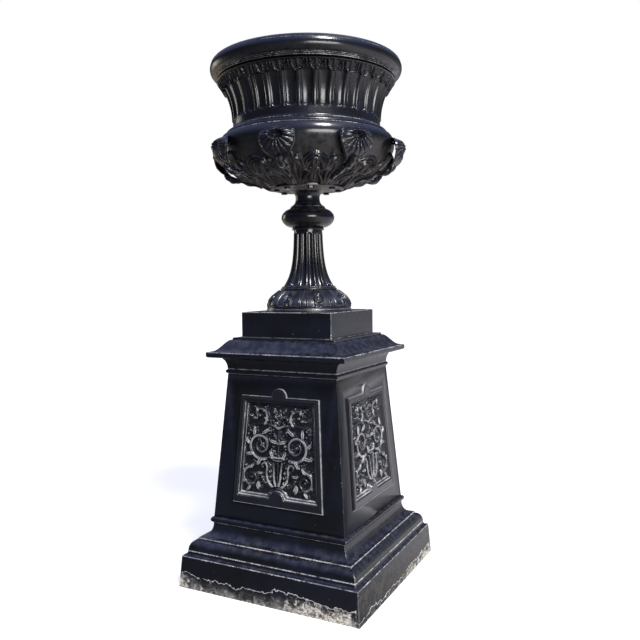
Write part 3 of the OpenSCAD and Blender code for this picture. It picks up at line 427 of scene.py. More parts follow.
def peel(t, colour):
    """Paint gone from the foot: a cracked line with mottled casting below it."""
    x, y, z = (t.axis(k) for k in range(3))
    right_face = t.step(x, 0.294, 0.297)
    # the line waves, is lower on the right face and rises again toward its far end
    wave = t.plus(t.times(t.noise(9, 4, 0.6), 0.62), t.times(t.noise(60, 4, 0.65), 0.16))
    dip = t.times(t.times(right_face, t.step(y, 0.28, -0.12)), 0.030)
    line = t.math("SUBTRACT", t.times(wave, 0.125), dip)
    depth = t.math("SUBTRACT", line, t.plus(z, 0.0085))
    inside = t.step(depth, 0.0, 0.0012)
    crack = t.times(t.step(depth, -0.0004, 0.0004), t.step(depth, 0.0028, 0.0012))
    crack = t.times(crack, t.step(t.noise(40, 2), 0.30, 0.40))
    # barest at the left corner, beside the near corner and at the right face's far end
    left = t.times(t.step(x, -0.265, -0.30), 0.8)
    near = t.times(t.step(x, 0.06, 0.16), t.step(x, 0.295, 0.26))
    far = t.times(right_face, t.step(y, -0.14, 0.26))
    bare = t.most(t.most(left, near), far)
    flake = t.plus(t.times(depth, 3.0), t.times(bare, 0.11))
    flake = t.plus(t.noise(44, 10, 0.8), flake)
    pale = t.times(t.step(flake, 0.60, 0.68), inside)
    # the right face alone is mottled brown: grime, and a painted reflection of the bright surroundings that
    # face mirrors
    grime_and_reflection = t.times(right_face, t.step(t.noise(30, 8, 0.75), 0.44, 0.66))
    haze = t.times(t.step(t.noise(24, 9, 0.8), 0.38, 0.58), t.step(depth, 0.002, 0.040))
    casting = t.mix(t.step(t.noise(95, 6, 0.75), 0.40, 0.56), TAN, CREAM)
    casting = t.mix(t.step(t.noise(150, 6, 0.8), 0.50, 0.58), casting, PIT)
    colour = t.cover(colour, grime_and_reflection, 0.8, GRIME_AND_REFLECTION)
    colour = t.cover(colour, haze, 0.70, GREY)
    colour = t.cover(colour, pale, 0.94, casting)
    colour = t.cover(colour, crack, 0.9, CRACK)
    return colour, t.most(pale, crack), t.most(haze, grime_and_reflection)


def paint(name, gloss=0.17, dust=0.22, chips=0.5, grain=1.0, under=0.25, rub=0.5, sheen=0.0, even=0.0,
          dust_bounce_above=None, foot=False):
    """Gloss paint over iron: dust where it faces up, browner where it faces down, chips where worn."""
    t = Tree(name)
    up = t.axis(2, t.node("ShaderNodeNewGeometry").outputs["Normal"])
    attribute = t.node("ShaderNodeAttribute")
    attribute.attribute_name = "worn"
    worn = attribute.outputs["Fac"]
    colour = t.mix(t.step(t.noise(7, 4), 0.35, 0.7), DARK, NAVY)
    # dust on top and a brown-black tint below
    film = t.times(t.step(up, 0.15, 0.95), t.step(t.noise(44, 7, 0.62), 0.36, 0.70))
    film = t.times(film, dust)
    colour = t.mix(film, colour, FILM)
    brown_below = t.times(t.step(up, -0.05, -0.75), t.step(t.noise(60, 5, 0.65), 0.25, 0.65))
    brown_below = t.times(brown_below, under)
    colour = t.mix(brown_below, colour, UNDERSIDE)
    # the flange's downward faces above 1.2215 m turn brown: dust, and painted bounce light from below
    if dust_bounce_above:
        plate = t.times(t.step(up, -0.5, -0.8), t.step(t.axis(2), dust_bounce_above, dust_bounce_above + 0.002))
        plate = t.times(plate, t.step(t.noise(55, 5, 0.6), 0.28, 0.55))
        colour = t.cover(colour, plate, 0.8, DUST_AND_BOUNCE)
        brown_below = t.most(brown_below, plate)
    # pale dots, paint worn thin along the edges, which also paints a highlight there, and chips in it
    dots = t.most(specks(t, 34, 0.045, 0.16), specks(t, 85, 0.07, 0.10))
    dots = t.times(dots, t.step(t.noise(11, 2), 0.40, 0.54))
    colour = t.cover(colour, dots, 0.8, SPOT)
    rub_and_highlight = t.times(t.step(worn, 0.4, 0.9), t.step(t.noise(48, 5, 0.65), 0.34 - even, 0.54 - even))
    colour = t.cover(colour, rub_and_highlight, rub, t.mix(t.step(worn, 1.1, 1.5), RUB_HIGHLIGHT, RUB_HIGHLIGHT_PALE))
    crumb = t.plus(t.times(t.noise(230, 4, 0.7), 0.6), t.times(t.noise(24, 3), 0.4))
    limit = 0.70 - 0.06 * chips
    chip = t.step(t.plus(crumb, t.times(worn, 0.17)), limit, limit + 0.025)
    chip = t.times(chip, t.step(worn, 0.15, 0.5))
    colour = t.cover(colour, chip, 0.85, CHIP)
    rough = t.plus(gloss, t.times(t.noise(60, 3), 0.10))
    rough = t.plus(rough, t.times(t.most(film, brown_below), 0.5))
    rough = t.most(rough, t.times(t.most(chip, dots), 0.75))
    bare = chip
    if foot:
        colour, peeled, haze = peel(t, colour)
        bare = t.most(bare, peeled)
        rough = t.most(rough, t.times(t.most(bare, haze), 0.8))
    normal = t.bump(t.noise(26, 3, 0.5), 0.0011 * grain, 0.5)
    normal = t.bump(t.noise(330, 4, 0.6), 0.00022 * grain, 0.55, Normal=normal)
    normal = t.bump(bare, -0.0005, 0.6, Normal=normal)
    return t.done(Base_Color=colour, Roughness=rough, Specular_IOR_Level=0.5, Coat_Weight=sheen,
                  Coat_Roughness=0.42, Normal=normal, Coat_Normal=normal)


def iron(name, light, dark, gloss=0.6):
    """Rusty iron of the parts inside."""
    t = Tree(name)
    rust = t.step(t.noise(35, 6, 0.65), 0.42, 0.66)
    rough = t.plus(gloss, t.times(t.noise(120, 3), 0.25))
    grain = t.bump(t.noise(300, 5, 0.65), 0.0004, 0.7)
    return t.done(Base_Color=t.mix(rust, dark, light), Roughness=rough, Normal=grain)


BLACK = paint("gloss_black", rub=0.7)
CARVED = paint("carved_black", dust=0.12, grain=0.8, rub=0.78, sheen=0.7, even=0.05)
BOWL = paint("bowl_black", gloss=0.14, dust=0.15, chips=0.2, grain=0.9, under=0.35, rub=0.25, sheen=0.1)
UNDER = paint("under_black", gloss=0.14, dust=0.15, chips=0.3, under=1.0, rub=0.6, sheen=0.2)
SHELL = paint("shell_black", gloss=0.14, dust=0.10, chips=0.2, grain=0.6, rub=0.45, sheen=0.3)
FLANGE = paint("flange_black", gloss=0.14, dust=0.15, chips=0.2, under=0.3, dust_bounce_above=1.2215)
BASE = paint("base_black", dust=0.20, chips=0.8, rub=0.62, foot=True)
INNER = iron("inner_iron", (0.085, 0.052, 0.035), (0.035, 0.030, 0.028))
FASTENER = iron("fastener_iron", (0.10, 0.070, 0.050), (0.035, 0.033, 0.032), 0.45)

BY_SLOT = {"inner_iron": INNER, "fastener_iron": FASTENER, "base_paint": BASE, "panel_paint": CARVED}
for part in frame["record"]["subparts"]:
    solid = frame["nodes"][part["node"]]
    solid.data.materials.clear()
    solid.data.materials.append(BY_SLOT.get(part["material_slot"], BLACK))


# Pedestal base and cap
def base_outline():
    """Leaning plinth, small cove, ovolo, cavetto and bead."""
    plinth = [(BASE_A, 0), (BASE_A - 0.6, 8), (BASE_A - 7, 95.5), (BASE_A - 9, 97)]
    cove = arc((292, 97.5), (284.5, 107.5), False, 8) + [(284.5, 109.5)]
    ovolo = arc((284, 110), (262, 140.5), True, 16) + [(262, 146)]
    cavetto = arc((258, 146.5), (227, 187), False, 18) + [(227, 190)]
    return soften(plinth + cove + ovolo + cavetto + bead(226, 190, 17.5, 8) + [(222, SHAFT_Z)], 0.9)


def base_inner():
    """The flange under the shaft, and the mouldings a wall further in."""
    out = [(185, SHAFT_Z), (185, SHAFT_Z - 8), (215, SHAFT_Z - 8)]
    out += [(x - BASE_WALL, z - BASE_WALL / 2) for x, z in reversed(arc((258, 146.5), (225, 187), False, 5))]
    out += [(x - BASE_WALL, z - BASE_WALL) for x, z in reversed(arc((285, 109), (262, 141), True, 5))]
    return out + [(288, 87), (294, 0)]


def cap_outline():
    """Collar, bead, cove, soffit, lip, curved top and ledge."""
    out = [(SHAFT_TOP_A + 0.2, CAP_Z), (SHAFT_TOP_A + 0.2, 655)] + bead(SHAFT_TOP_A, 655, 12.5, 5.5)
    out += arc((189.5, 668.5), (212, 706), True, 16)
    out += arc((230, 706), (LIP_A, 711), False, 8)
    out += [(LIP_A, 721.5), (LIP_A - 1.5, 723)]
    top = [(235, 723.1), (221, 725), (210, 732), (198, 745), (187.5, 755.8), (LEDGE_A, 760)]
    return soften([*out, *spline(top, 5), (LEDGE_A, URN_Z)], 0.9)


def cap_inner():
    """The plate closes with a square hole that the round one of the solid lies in."""
    out = [(60, URN_Z), (60, 756), (168, 756), (168, 751), (186, 731.4), (222, 714)]
    return out + [(203, 710.5), (190, 704), (179.5, 672.5), (179.5, 658), (148.5, 658), (148.5, CAP_Z)]


square_turned("base_casting", base_outline(), base_inner(), 2.2, BASE, "pedestal", "base_moulding",
              2.5)
square_turned("cap_casting", cap_outline(), cap_inner(), 1.8, BLACK, "pedestal", "cap_cornice")


# Tapered shaft
LEAN = math.atan2(SHAFT_A - SHAFT_TOP_A, CAP_Z - SHAFT_Z)


def shaft_half(z):
    return SHAFT_A + (SHAFT_TOP_A - SHAFT_A) * (z - SHAFT_Z) / (CAP_Z - SHAFT_Z)


def shaft_plate(node, width=0.0008):
    """A copy of a plate's solid with its edges rounded."""
    obj = place(node + "_rounded", frame["nodes"][node].data.copy())
    weld = obj.modifiers.new("weld", "WELD")
    weld.merge_threshold = 0.00001
    flat = obj.modifiers.new("flat", "DECIMATE")
    flat.decimate_type, flat.angle_limit = "DISSOLVE", math.radians(0.5)
    edge = obj.modifiers.new("edge", "BEVEL")
    edge.width, edge.segments, edge.limit_method, edge.angle_limit = width, 3, "ANGLE", math.radians(40)
    edge.harden_normals = True
    bpy.context.view_layer.update()
    mesh = bpy.data.meshes.new_from_object(obj.evaluated_get(bpy.context.evaluated_depsgraph_get()))
    obj.modifiers.clear()
    obj.data = mesh
    shade(mesh, 50)
    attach(obj, "pedestal")
    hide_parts(node)


def plate_edges(radius=2.6, sink=8.0):
    """A worn arris up each corner."""
    z, t = np.linspace(SHAFT_Z, CAP_Z, 60)[:, None], np.linspace(-1, 1, 7)
    a, e = shaft_half(z), np.radians(45 * t - 45)
    middle = a - 0.86 * radius
    x = np.hstack([middle + radius * np.cos(e), a - sink])
    y = np.hstack([radius * np.sin(e) - middle, sink - a])
    verts = np.stack([x, y, z + 0 * x], -1).reshape(-1, 3)
    faces, worn = quads(*x.shape), np.tile([*(0.62 - 0.3 * np.abs(t)), 0], len(z))
    for k in range(4):
        add(f"shaft_arris_{k + 1}", turned_about(verts, k), faces, worn, BLACK, "pedestal", angle=60)


# Relief panels, in mm across the plate and up its slope
PANEL_Z, PANEL_H, PANEL_LOW_A, PANEL_HIGH_A = 264.0, 329.0, 155.0, 134.0
EAR_R, NOTCH_R, MARGIN, MARGIN_LOW = 26.0, 23.0, 13.0, 22.0
# The frame's two ridges and the carved field, by how far they lie in from its inner edge
RIDGES, FIELD_AT, FIELD_DEPTH = (4.6, 11.4), 15.0, 6.5
SCROLL, CORNER_SCROLL, TOP_SCROLL = (61, 181), (92, 82), (62, 270)


def panel_half(v):
    return PANEL_LOW_A + (PANEL_HIGH_A - PANEL_LOW_A) * v / PANEL_H


# Single leaves of one half: place, angle, length, width, height, bend, lobes and vein
LEAVES = [
    # along the upper branch and around its scroll
    (84, 243, 118, 42, 20, 7.5, 10, 4), (106, 236, 176, 58, 17, 7.5, -6, 5), (60, 290, -62, 26, 13, 6, 5, 3),
    (78, 284, 48, 34, 15, 6.5, -8, 4), (90, 262, 75, 24, 12, 5.5, -5, 3),
    # crown in the middle of the top
    (0, 250, 0, 50, 15, 8, -5, 3, 0.35), (1, 246, 26, 54, 14, 8, -5, 3, 0.35),
    (1, 240, 58, 40, 13, 8, -8, 3, 0.35),
    # gripping the large scroll
    (30, 215, -8, 36, 18, 8, 9, 4), (93, 214, 40, 26, 14, 7, 8, 3), (24, 168, -30, 30, 13, 6.5, 4, 3),
    (104, 160, 148, 38, 17, 7, -10, 4), (76, 206, 200, 24, 12, 6.5, 4, 3), (44, 160, 20, 22, 11, 6, 4, 3),
    # along the stalk and in the vase at its foot
    (2, 196, 48, 30, 13, 7, -5, 3), (2, 152, 62, 26, 12, 7, -6, 3), (21, 70, 6, 62, 17, 8, 3, 4),
    (14, 56, 62, 52, 18, 7, 10, 5),
    # around the lower corner's scroll
    (62, 122, 75, 34, 15, 7, -8, 4), (110, 110, 60, 22, 13, 6, 6, 3), (60, 92, 196, 30, 15, 6.5, 6, 4),
    (72, 56, 80, 46, 14, 6, -6, 4), (108, 58, 40, 22, 12, 6, 5, 3)]
# Bands of one half: path, half width at start and end, height and depth of the groove
BANDS = [
    (spiral(*SCROLL, 44, 11, -118, 440, 64), 6.6, 4.4, 9, 0.25),
    (spiral(*CORNER_SCROLL, 33, 9, 92, -330, 48), 6.2, 4.2, 8.5, 0.25),
    (spline([(2, 236), (18, 243), (45, 246), (78, 243), (108, 235)]), 5.6, 3.4, 8.5, 0.3),
    (spline([(48, 246), (42, 258), (41, 270), (48, 284), (62, 291), (76, 286), (80, 275), (73, 266),
             (65, 268)]), 5.8, 4.2, 8.5, 0.3),
    (spline([(40, 124), (58, 122), (76, 120), (92, 114)]), 3.6, 4.4, 7, 0.3),
    (spline([(6, 262), (18, 268), (29, 262), (28, 252)]), 3.2, 2.6, 6.5),
    # stalk with its collar, and the vase
    ([(0, 60), (0, 240)], 4.2, 3.6, 7),
    ([(0, 147), (15, 149), (23, 145)], 4.6, 3.6, 9),
    ([(0, 139), (13, 140)], 3.4, 3.0, 8),
    (spline([(4, 58), (10, 80), (12, 106), (15, 132)]), 5.4, 4.2, 9, 0.25),
    (spline([(8, 54), (30, 74), (37, 98), (36, 118), (44, 130), (54, 124), (52, 115)]), 6.0, 4.2, 9, 0.25)]
FLOWERS = [(*SCROLL, 11, 7.5), (*CORNER_SCROLL, 8.5, 7), (0, 190, 13, 8, 6), (26, 92, 8, 6.5, 4)]


def foliage(u, v):
    """Scrolling leaves on one half of the field, u outward from the stalk and v up."""
    forms = [(leaf, *row) for row in LEAVES] + [(stem, *row) for row in BANDS]
    forms += [(rosette, *row) for row in FLOWERS] + [(dome, 66, 270, 6.5, 7.5)]
    # broad leaves all round the three scrolls
    for (cx, cy), r, angles, n in ((SCROLL, 36, range(-100, 250, 50), 34),
                                   (CORNER_SCROLL, 26, range(-150, 200, 58), 27),
                                   (TOP_SCROLL, 14, range(-40, 240, 75), 22)):
        for a in angles:
            x0, y0 = cx + r * math.cos(math.radians(a)), cy + r * math.sin(math.radians(a))
            forms.append((leaf, x0, y0, 40 - a, n, 0.42 * n, 10, 4, 0, 0.35))
    return highest(u, v, forms)


def broken_ground(u, v):
    """Small broken leaves that fill the rest of the ground."""
    patches = np.sin(u * 0.42 + 1.7 * np.sin(v * 0.13)) * np.sin(v * 0.37 + 1.9 * np.sin(u * 0.11))
    return np.clip(patches + 0.35 * np.sin(u * 1.3 + v), 0, 1) ** 0.8


def panel_frame(u, v):
    """Height of the frame, and how far inside its two outlines that is."""
    half = panel_half(v)
    flat = np.minimum.reduce([half - np.abs(u), v, PANEL_H - v])
    outer = np.maximum(flat, EAR_R - np.hypot(u, v - PANEL_H))
    inner = np.minimum.reduce([half - MARGIN - np.abs(u), v - MARGIN_LOW, PANEL_H - MARGIN - v,
                               np.hypot(u, v - MARGIN_LOW) - NOTCH_R])
    h = -4 + 10 * smooth(-0.9, 0.9, outer) - 1.2 * hump(outer, 5.5, 1.6) * (inner < -3)
    # two rounded ridges step down to the field
    drop = 5.2 * smooth(0, 2.0, inner) - 3.4 * hump(inner, RIDGES[0], 2.1)
    drop += 4.6 * smooth(7.0, 9.0, inner) - 3.0 * hump(inner, RIDGES[1], 2.0)
    drop += 2.7 * smooth(13.2, 16.0, inner)
    return h - np.where(inner > 0, drop, 0), outer, inner


def panel_wear_and_light(u, v, outer, inner, lift):
    """Paint wears pale along edges and relief tops, with painted light and shade in how much: least on the
    inner top and right ridges and the left outer edge, which lie in shade, and most on the lit bottom and
    left ridges.
    """
    half = panel_half(v)
    # painted shade: the left outer edge, in shade, gets only a faint rub, the other outer edges a strong one
    worn = hump(outer, 0.5, 1.5) * np.where(half + u < outer + 1.0, 0.2, 0.9)
    worn = np.maximum(worn, 1.35 * hump(v, 1.4, 1.5))
    low, left = v - MARGIN_LOW, half - MARGIN + u
    arch = np.hypot(u, low) - NOTCH_R
    # painted light and shade: the bottom and left ridges face the light and get a strong rub, the top and
    # right ones in shade a faint one
    bright = np.where(low < inner + 0.6, 1.1, np.where(left < inner + 0.6, 0.8, 0.25))
    bright = np.where(arch < inner + 0.6, 0.6 + 0.5 * smooth(-6, 12, u), bright)
    broad = np.where(low < inner + 0.6, 3.0, 2.2)
    for at in RIDGES:
        worn = np.maximum(worn, bright * hump(inner, at, broad))
    # the relief's tops wear pale, partly a painted highlight
    return np.maximum(worn, smooth(7.5, 11.5, lift) * 0.9)


def on_front(u, v, h):
    """Places on the front plate: u across, v up its slope from the panel's foot, h out."""
    u, v, h = (np.asarray(k, float)[..., None] for k in (u, v, h))
    foot = np.array([0, -shaft_half(PANEL_Z), PANEL_Z])
    along = np.array([0, math.sin(LEAN), math.cos(LEAN)])
    out = np.array([0, -math.cos(LEAN), math.sin(LEAN)])
    return foot + u * np.array([1.0, 0, 0]) + v * along + h * out


def relief_panel(over=1.2):
    """The front's framed panel, a little past its outline to close on the plate."""
    us = np.linspace(0, 1, 112)
    us = np.hstack([-us[:0:-1], us])
    vs = np.hstack([np.linspace(-over, PANEL_H, 232), PANEL_H + np.linspace(0, EAR_R + over, 20)[1:]])
    s, v = np.meshgrid(us, vs)
    u = s * (panel_half(np.minimum(v, PANEL_H)) + over)
    h, outer, inner = panel_frame(u, v)
    middle = len(us) // 2
    carve = foliage(u[:, middle:], v[:, middle:])
    carve = np.hstack([carve[:, :0:-1], carve])
    in_field = inner > FIELD_AT
    lift = np.where(in_field, 1.4 * carve * smooth(FIELD_AT, FIELD_AT + 3, inner), 0)
    fill = 1.6 * broken_ground(u, v) * smooth(FIELD_AT + 0.5, FIELD_AT + 3, inner)
    h = np.where(in_field, np.maximum(h, np.maximum(lift, fill) - FIELD_DEPTH), h)
    worn = panel_wear_and_light(u, v, outer, inner, lift)
    faces = quads(*u.shape, False, False)
    faces = faces[(outer.reshape(-1)[faces] > -1.6).any(1)].tolist()
    # a plain tray behind the field
    low, high = 20.0, PANEL_H - 11.0
    wide, narrow = panel_half(low) - 11.0, panel_half(high) - 11.0
    x, y = [-wide, wide, narrow, -narrow], [low, low, high, high]
    tray = [on_front(x, y, [depth] * 4) for depth in (-9.6, 3.0)]
    n = u.size
    faces.append([n + 3, n + 2, n + 1, n])
    faces += [[n + i, n + (i + 1) % 4, n + 4 + (i + 1) % 4, n + 4 + i] for i in range(4)]
    verts = np.vstack([on_front(u, v, h).reshape(-1, 3), *tray])
    return verts, faces, np.hstack([worn.ravel(), np.zeros(8)])


verts, faces, worn = relief_panel()
for quarter, side in enumerate(["front", "right", "back", "left"]):
    add(f"panel_{side}", turned_about(verts, quarter), faces, worn, CARVED, "pedestal",
        f"relief_panel_{side}", 60)
    shaft_plate(f"shaft_plate_{side}")
plate_edges()


# Square block, foot and stem of the urn
block = soften([(150, URN_Z), (BLOCK_A, URN_Z), (BLOCK_A, FOOT_Z), (90, FOOT_Z)], 2.0)
under_plate = FOOT_Z - BLOCK_WALL
inside = BLOCK_A - BLOCK_WALL
hollow = [(BLOCK_BORE_R, FOOT_Z), (BLOCK_BORE_R, under_plate), (inside, under_plate), (inside, URN_Z)]
square_turned("block_casting", block, hollow, 2.4, BLACK, "urn", "urn_block")

DOME_Z = FOOT_Z + 9
DOME_H = STEM_Z - DOME_Z


def foot_outline():
    """A thin round edge with a dome on it."""
    edge = raised([(132, 0), (135.2, 0.6), (135.5, 2), (135.5, 7), (134.6, 8.4)], FOOT_Z)
    swell = [(STEM_FOOT_R + 44.2 - 45 * t ** 2.2, DOME_Z + DOME_H * t) for t in np.linspace(0, 1, 60) ** 1.1]
    return fine(edge + swell, 1.2)


def foot_relief(az, outline):
    """Ribbed leaves, a ringed boss on every second one and a swag around the edge."""
    deg = np.degrees(az)[None, :] - FOOT_TURN
    r, t = outline[:, :1], (outline[:, 1:] - DOME_Z) / DOME_H
    period = 360 / FOOT_LEAVES
    x = np.abs(np.radians(from_nearest(deg, period)) * r)
    s = 1.15 * DOME_H * t + 0 * x
    w = 13.5 - 4.5 * np.clip(t, 0, 1)
    rib = 1.8 * hump(x, 0, 1.6) - 1.6 * hump(x, 4.4, 1.4)
    h = 4.2 * half_round(x / w) * smooth(0.02, 0.2, t) + rib * (x < w) + 2.4 * hump(x, w, 1.7)
    d = np.hypot(np.radians(from_nearest(deg, 2 * period)) * r, s - 36)
    h = np.where(d < 16.5, np.maximum(5.4 * hump(d, 13.5, 2.2), 4.6 * half_round(d / 6.5)) + 0.4, h)
    swag = 4.5 + 3.5 * np.abs(np.sin(np.radians(deg) * 8))
    h = np.where(s < swag + 5, 0.8 + 3.2 * hump(s, swag, 2.2), h)
    return np.where(t > 0, (h - 1.6) * smooth(0.0, 0.05, t) * smooth(1.0, 0.93, t), 0)


foot_inner = [(ROD_R, STEM_Z), (ROD_R, 896), (FOOT_BORE_R, 896), (105, 880), (110, 866), (FOOT_BORE_R, 852),
              (FOOT_BORE_R, FOOT_Z)]
lathe("foot_casting", foot_outline(), foot_inner, 960, CARVED, "urn_foot", foot_relief, angle=60)


def stem_r(z):
    return STEM_TOP_R + (STEM_FOOT_R - STEM_TOP_R) * np.exp(-(z - STEM_Z) / 50)


def stem_outline():
    """Two rings and the swept shaft above them."""
    rings = bead(87, 0, 6, 3.6, 8) + [(87, 6.5)] + bead(84, 7, 4.5, 2.4, 6)
    sweep = [(stem_r(z), z) for z in np.linspace(STEM_Z + 12, KNOP_Z, 130)]
    return fine(raised(rings, STEM_Z), 1.5).tolist() + sweep


def stem_relief(az, outline):
    """Round ended flutes with a fine bead up each land between them."""
    z = outline[:, 1:]
    r = stem_r(np.maximum(z, STEM_Z + 12))
    x = np.abs(from_nearest(az[None, :] / TURN * STEM_FLUTES, 1))
    period = TURN * r / STEM_FLUTES
    back = lag(0.35 * period, (0.5 - x) * period)
    low = 1 - np.clip((z - STEM_Z - 11 - back) / 5, 0, 1)
    high = 1 - np.clip((KNOP_Z - 9 - z - back) / 4, 0, 1)
    depth = 1.0 + 7.4 * r / STEM_FOOT_R
    cut = depth * half_round((0.5 - x) / 0.35) * half_round(low) * half_round(high)
    return 0.9 * hump(x, 0, 0.085) * smooth(STEM_Z + 10, STEM_Z + 20, z) * (z < KNOP_Z - 8) - cut


lathe("stem_casting", stem_outline(), [(ROD_R, KNOP_Z), (ROD_R, STEM_Z)], 26 * STEM_FLUTES, BOWL, "urn_stem",
      stem_relief, angle=60)

ball = [(51.5, 8.5), (64, 12.5), (76, 21), (83, 32), (84, 41), (81.5, 50), (73, 60), (63, 65.5), (57.5, 67)]
knop = [(46, 0), *bead(47, 0, 6.5, 4.2, 8), (49.5, 7), *spline(ball, 6), (56.5, 68.5), (56, 71)]
lathe("knop_casting", fine(raised(knop, KNOP_Z), 2.5), [(ROD_R, NECK_Z), (ROD_R, KNOP_Z)], 192, BOWL,
      "stem_knop")

waist = [(50, 6), (44, 11), (40, 18), (38.3, 29), (39.5, 39), (46, 48), (58, 54), (84, 56.5), (108, 57)]
neck = [*bead(51, 0, 5, 3.5, 6), (50.5, 5.5), *spline(waist, 6)]
neck += [(114.5, 57), (SEAT_R, 58.5), (SEAT_R, 65.5), (SEAT_R - 1, 67)]
neck_bore = [(28, SEAT_Z), (28, SEAT_Z - 24), (ROD_R, SEAT_Z - 24), (ROD_R, NECK_Z)]
lathe("neck_casting", fine(raised(neck, NECK_Z), 3), neck_bore, 192, FLANGE, "neck_flange")


# Bowl body
UNDER_POWER = 1.7
SHOULDER_IN, SHOULDER_UP = 60, 50


def bowl_z(r):
    """Height of the bowl's underside, with a bulge around its seat."""
    x = np.clip((r - SEAT_R) / (BELLY_R - SEAT_R), 0, 1)
    bulge = 12 * hump(r, 165, 32) * smooth(SEAT_R, 140, r)
    return BELLY_Z - (BELLY_Z - SEAT_Z) * (1 - x ** UNDER_POWER) ** (1 / UNDER_POWER) + bulge


def bowl_r(z):
    """The bowl's outer radius from its seat to the seam."""
    d = np.clip((BELLY_Z - z) / (BELLY_Z - SEAT_Z), 0, 1)
    low = SEAT_R + (BELLY_R - SEAT_R) * (1 - d ** UNDER_POWER) ** (1 / UNDER_POWER)
    up = BELLY_R - SHOULDER_IN * (1 - half_round((z - BELLY_Z) / SHOULDER_UP))
    return np.where(z <= BELLY_Z, low, up)


def bowl_outline():
    r = SEAT_R + (BELLY_R - SEAT_R) * np.sin(np.linspace(0, math.pi / 2, 40))
    low = [(a, float(bowl_z(a))) for a in r]
    up = [(float(bowl_r(z)), z) for z in np.linspace(BELLY_Z, SEAM_Z - 1.5, 14)[1:]]
    return fine(low + up, 2.1)


def bowl_inner():
    """The seam's flange, the wall and the floor with its drain."""
    out = [(234, SEAM_Z), (234, SEAM_Z - 8), (256, SEAM_Z - 8)]
    r = [SEAT_R + (BELLY_R - SEAT_R) * math.sin(math.radians(9 * i)) for i in range(10, 0, -1)]
    out += [(a - BOWL_WALL, float(bowl_z(a)) + 10) for a in r]
    return out + [(SEAT_R - BOWL_WALL, SEAT_Z + 10), (28, SEAT_Z + 10), (28, SEAT_Z)]


def under_relief(az, outline):
    """Deep carving, drawn on half a repeat: x from a handle, m from between two."""
    half_period = 180 / HANDLES
    half = len(az) // (2 * HANDLES)
    r, s = outline[:, :1], lengths(outline)[:, None]
    deg = np.linspace(0, half_period, half + 1)[None, :]
    x, m = np.radians(deg) * r, np.radians(half_period - deg) * r
    y = s + 0 * x
    # one long leaf runs from the seat to each handle, with ridges that spread along it
    ground = smooth(0, 12, y) * smooth(6, 0, x - 12 - 0.30 * np.minimum(y, 120)) * smooth(168, 140, y)
    ridges = [(stem, [(0, 4), (0, 100), (0, 172)], 8, 13, 13, 0.35), (dome, 40, 138, 8, 12)]
    for path, w in (([(7, 6), (13, 50), (20, 92), (29, 128), (27, 150)], 5.6),
                    ([(12, 6), (23, 42), (36, 78), (50, 108), (50, 128)], 5.4),
                    ([(17, 6), (34, 34), (54, 60), (72, 80), (76, 98)], 5.2)):
        tip_x, tip_y = path[-2]
        ridges += [(stem, spline(path, 6), w, 3.4, 10, 0.3),
                   (leaf, tip_x - 3, tip_y - 16, 30, 34, 20, 10, 8, 3, 0.3),
                   (leaf, tip_x - 5, tip_y - 20, -14, 28, 14, 8, -4, 2, 0.3)]
    # between the handles: arcs one inside the other over a hanging curl
    d = np.hypot(m, y - 112)
    arcs = 6.5 * np.clip(np.cos((d - 20) * TURN / 10), 0, 1) ** 0.7 * (d > 16) * smooth(-4, 10, y - 112)
    arcs = (arcs + 2.0 * (y > 112)) * (d < 43)
    big_curl = [(20, 84), (32, 100), (46, 112), (56, 124), (50, 138), (41, 132)]
    hanging = [(stem, spline([(0, 66), (10, 68), (15, 78), (12, 88), (6, 86)]), 4.2, 3.0, 10, 0.2),
               (stem, spline(big_curl), 4.6, 3.0, 9),
               (leaf, 0, 62, 180, 54, 30, 9, 0, 4, 0.3),
               (leaf, 8, 56, 24, 44, 16, 8, 6, 3, 0.3),
               (leaf, 1, 96, 12, 30, 12, 8, 0, 0, 0.3),
               (dome, 28, 92, 6.5, 10)]
    collar = 3.0 * hump(y, 4, 2.5)
    h = np.maximum.reduce([3.2 * ground, highest(x, y, ridges), arcs, highest(m, y, hanging), collar])
    h = h * smooth(0, 6, y) + 0.5 * (h > 0)
    # lay the half repeat around the bowl by the distance from the nearest handle
    at = np.abs(from_nearest(np.degrees(az) - HANDLE_TURN, 2 * half_period)) / half_period * half
    i = np.clip(np.floor(at).astype(int), 0, half - 1)
    return h[:, i] * (1 - (at - i)) + h[:, i + 1] * (at - i)


# the carving's high tops wear pale, partly a painted highlight
lathe("bowl_casting", bowl_outline(), bowl_inner(), 864, UNDER, "bowl_body", under_relief,
      worn=lambda h: 0.8 * smooth(7.5, 10.5, h), angle=70)


# Bowl neck and rim
TONGUE_TIP_Z, TONGUE_SIDE_Z = 1528, 1546


def throat_r(z):
    return THROAT_R + FLARE_R - np.sqrt(FLARE_R ** 2 - np.maximum(0, z - FLUTE_Z) ** 2)


def neck_outline():
    """Torus and bead, then the flaring throat, finest where carving starts."""
    low = [(257, -0.5)] + bead(256.5, 0, 3.2, 2.2, 6) + [(256, 3.5)]
    low += arc((256, 3.6), (241, 17.5), True, 12)
    low += bead(238.5, 17.8, 3.6, 2.6, 6) + [(236, 22), (232.4, 24.5)]
    runs = ((1413, 1433, 6), (1434, 1470, 34), (1471.5, 1505, 20), (1506, RIM_Z - 0.5, 52))
    throat = [(throat_r(z), z) for run in runs for z in np.linspace(*run)]
    return np.vstack([soften(raised(low, SEAM_Z), 0.6), throat])


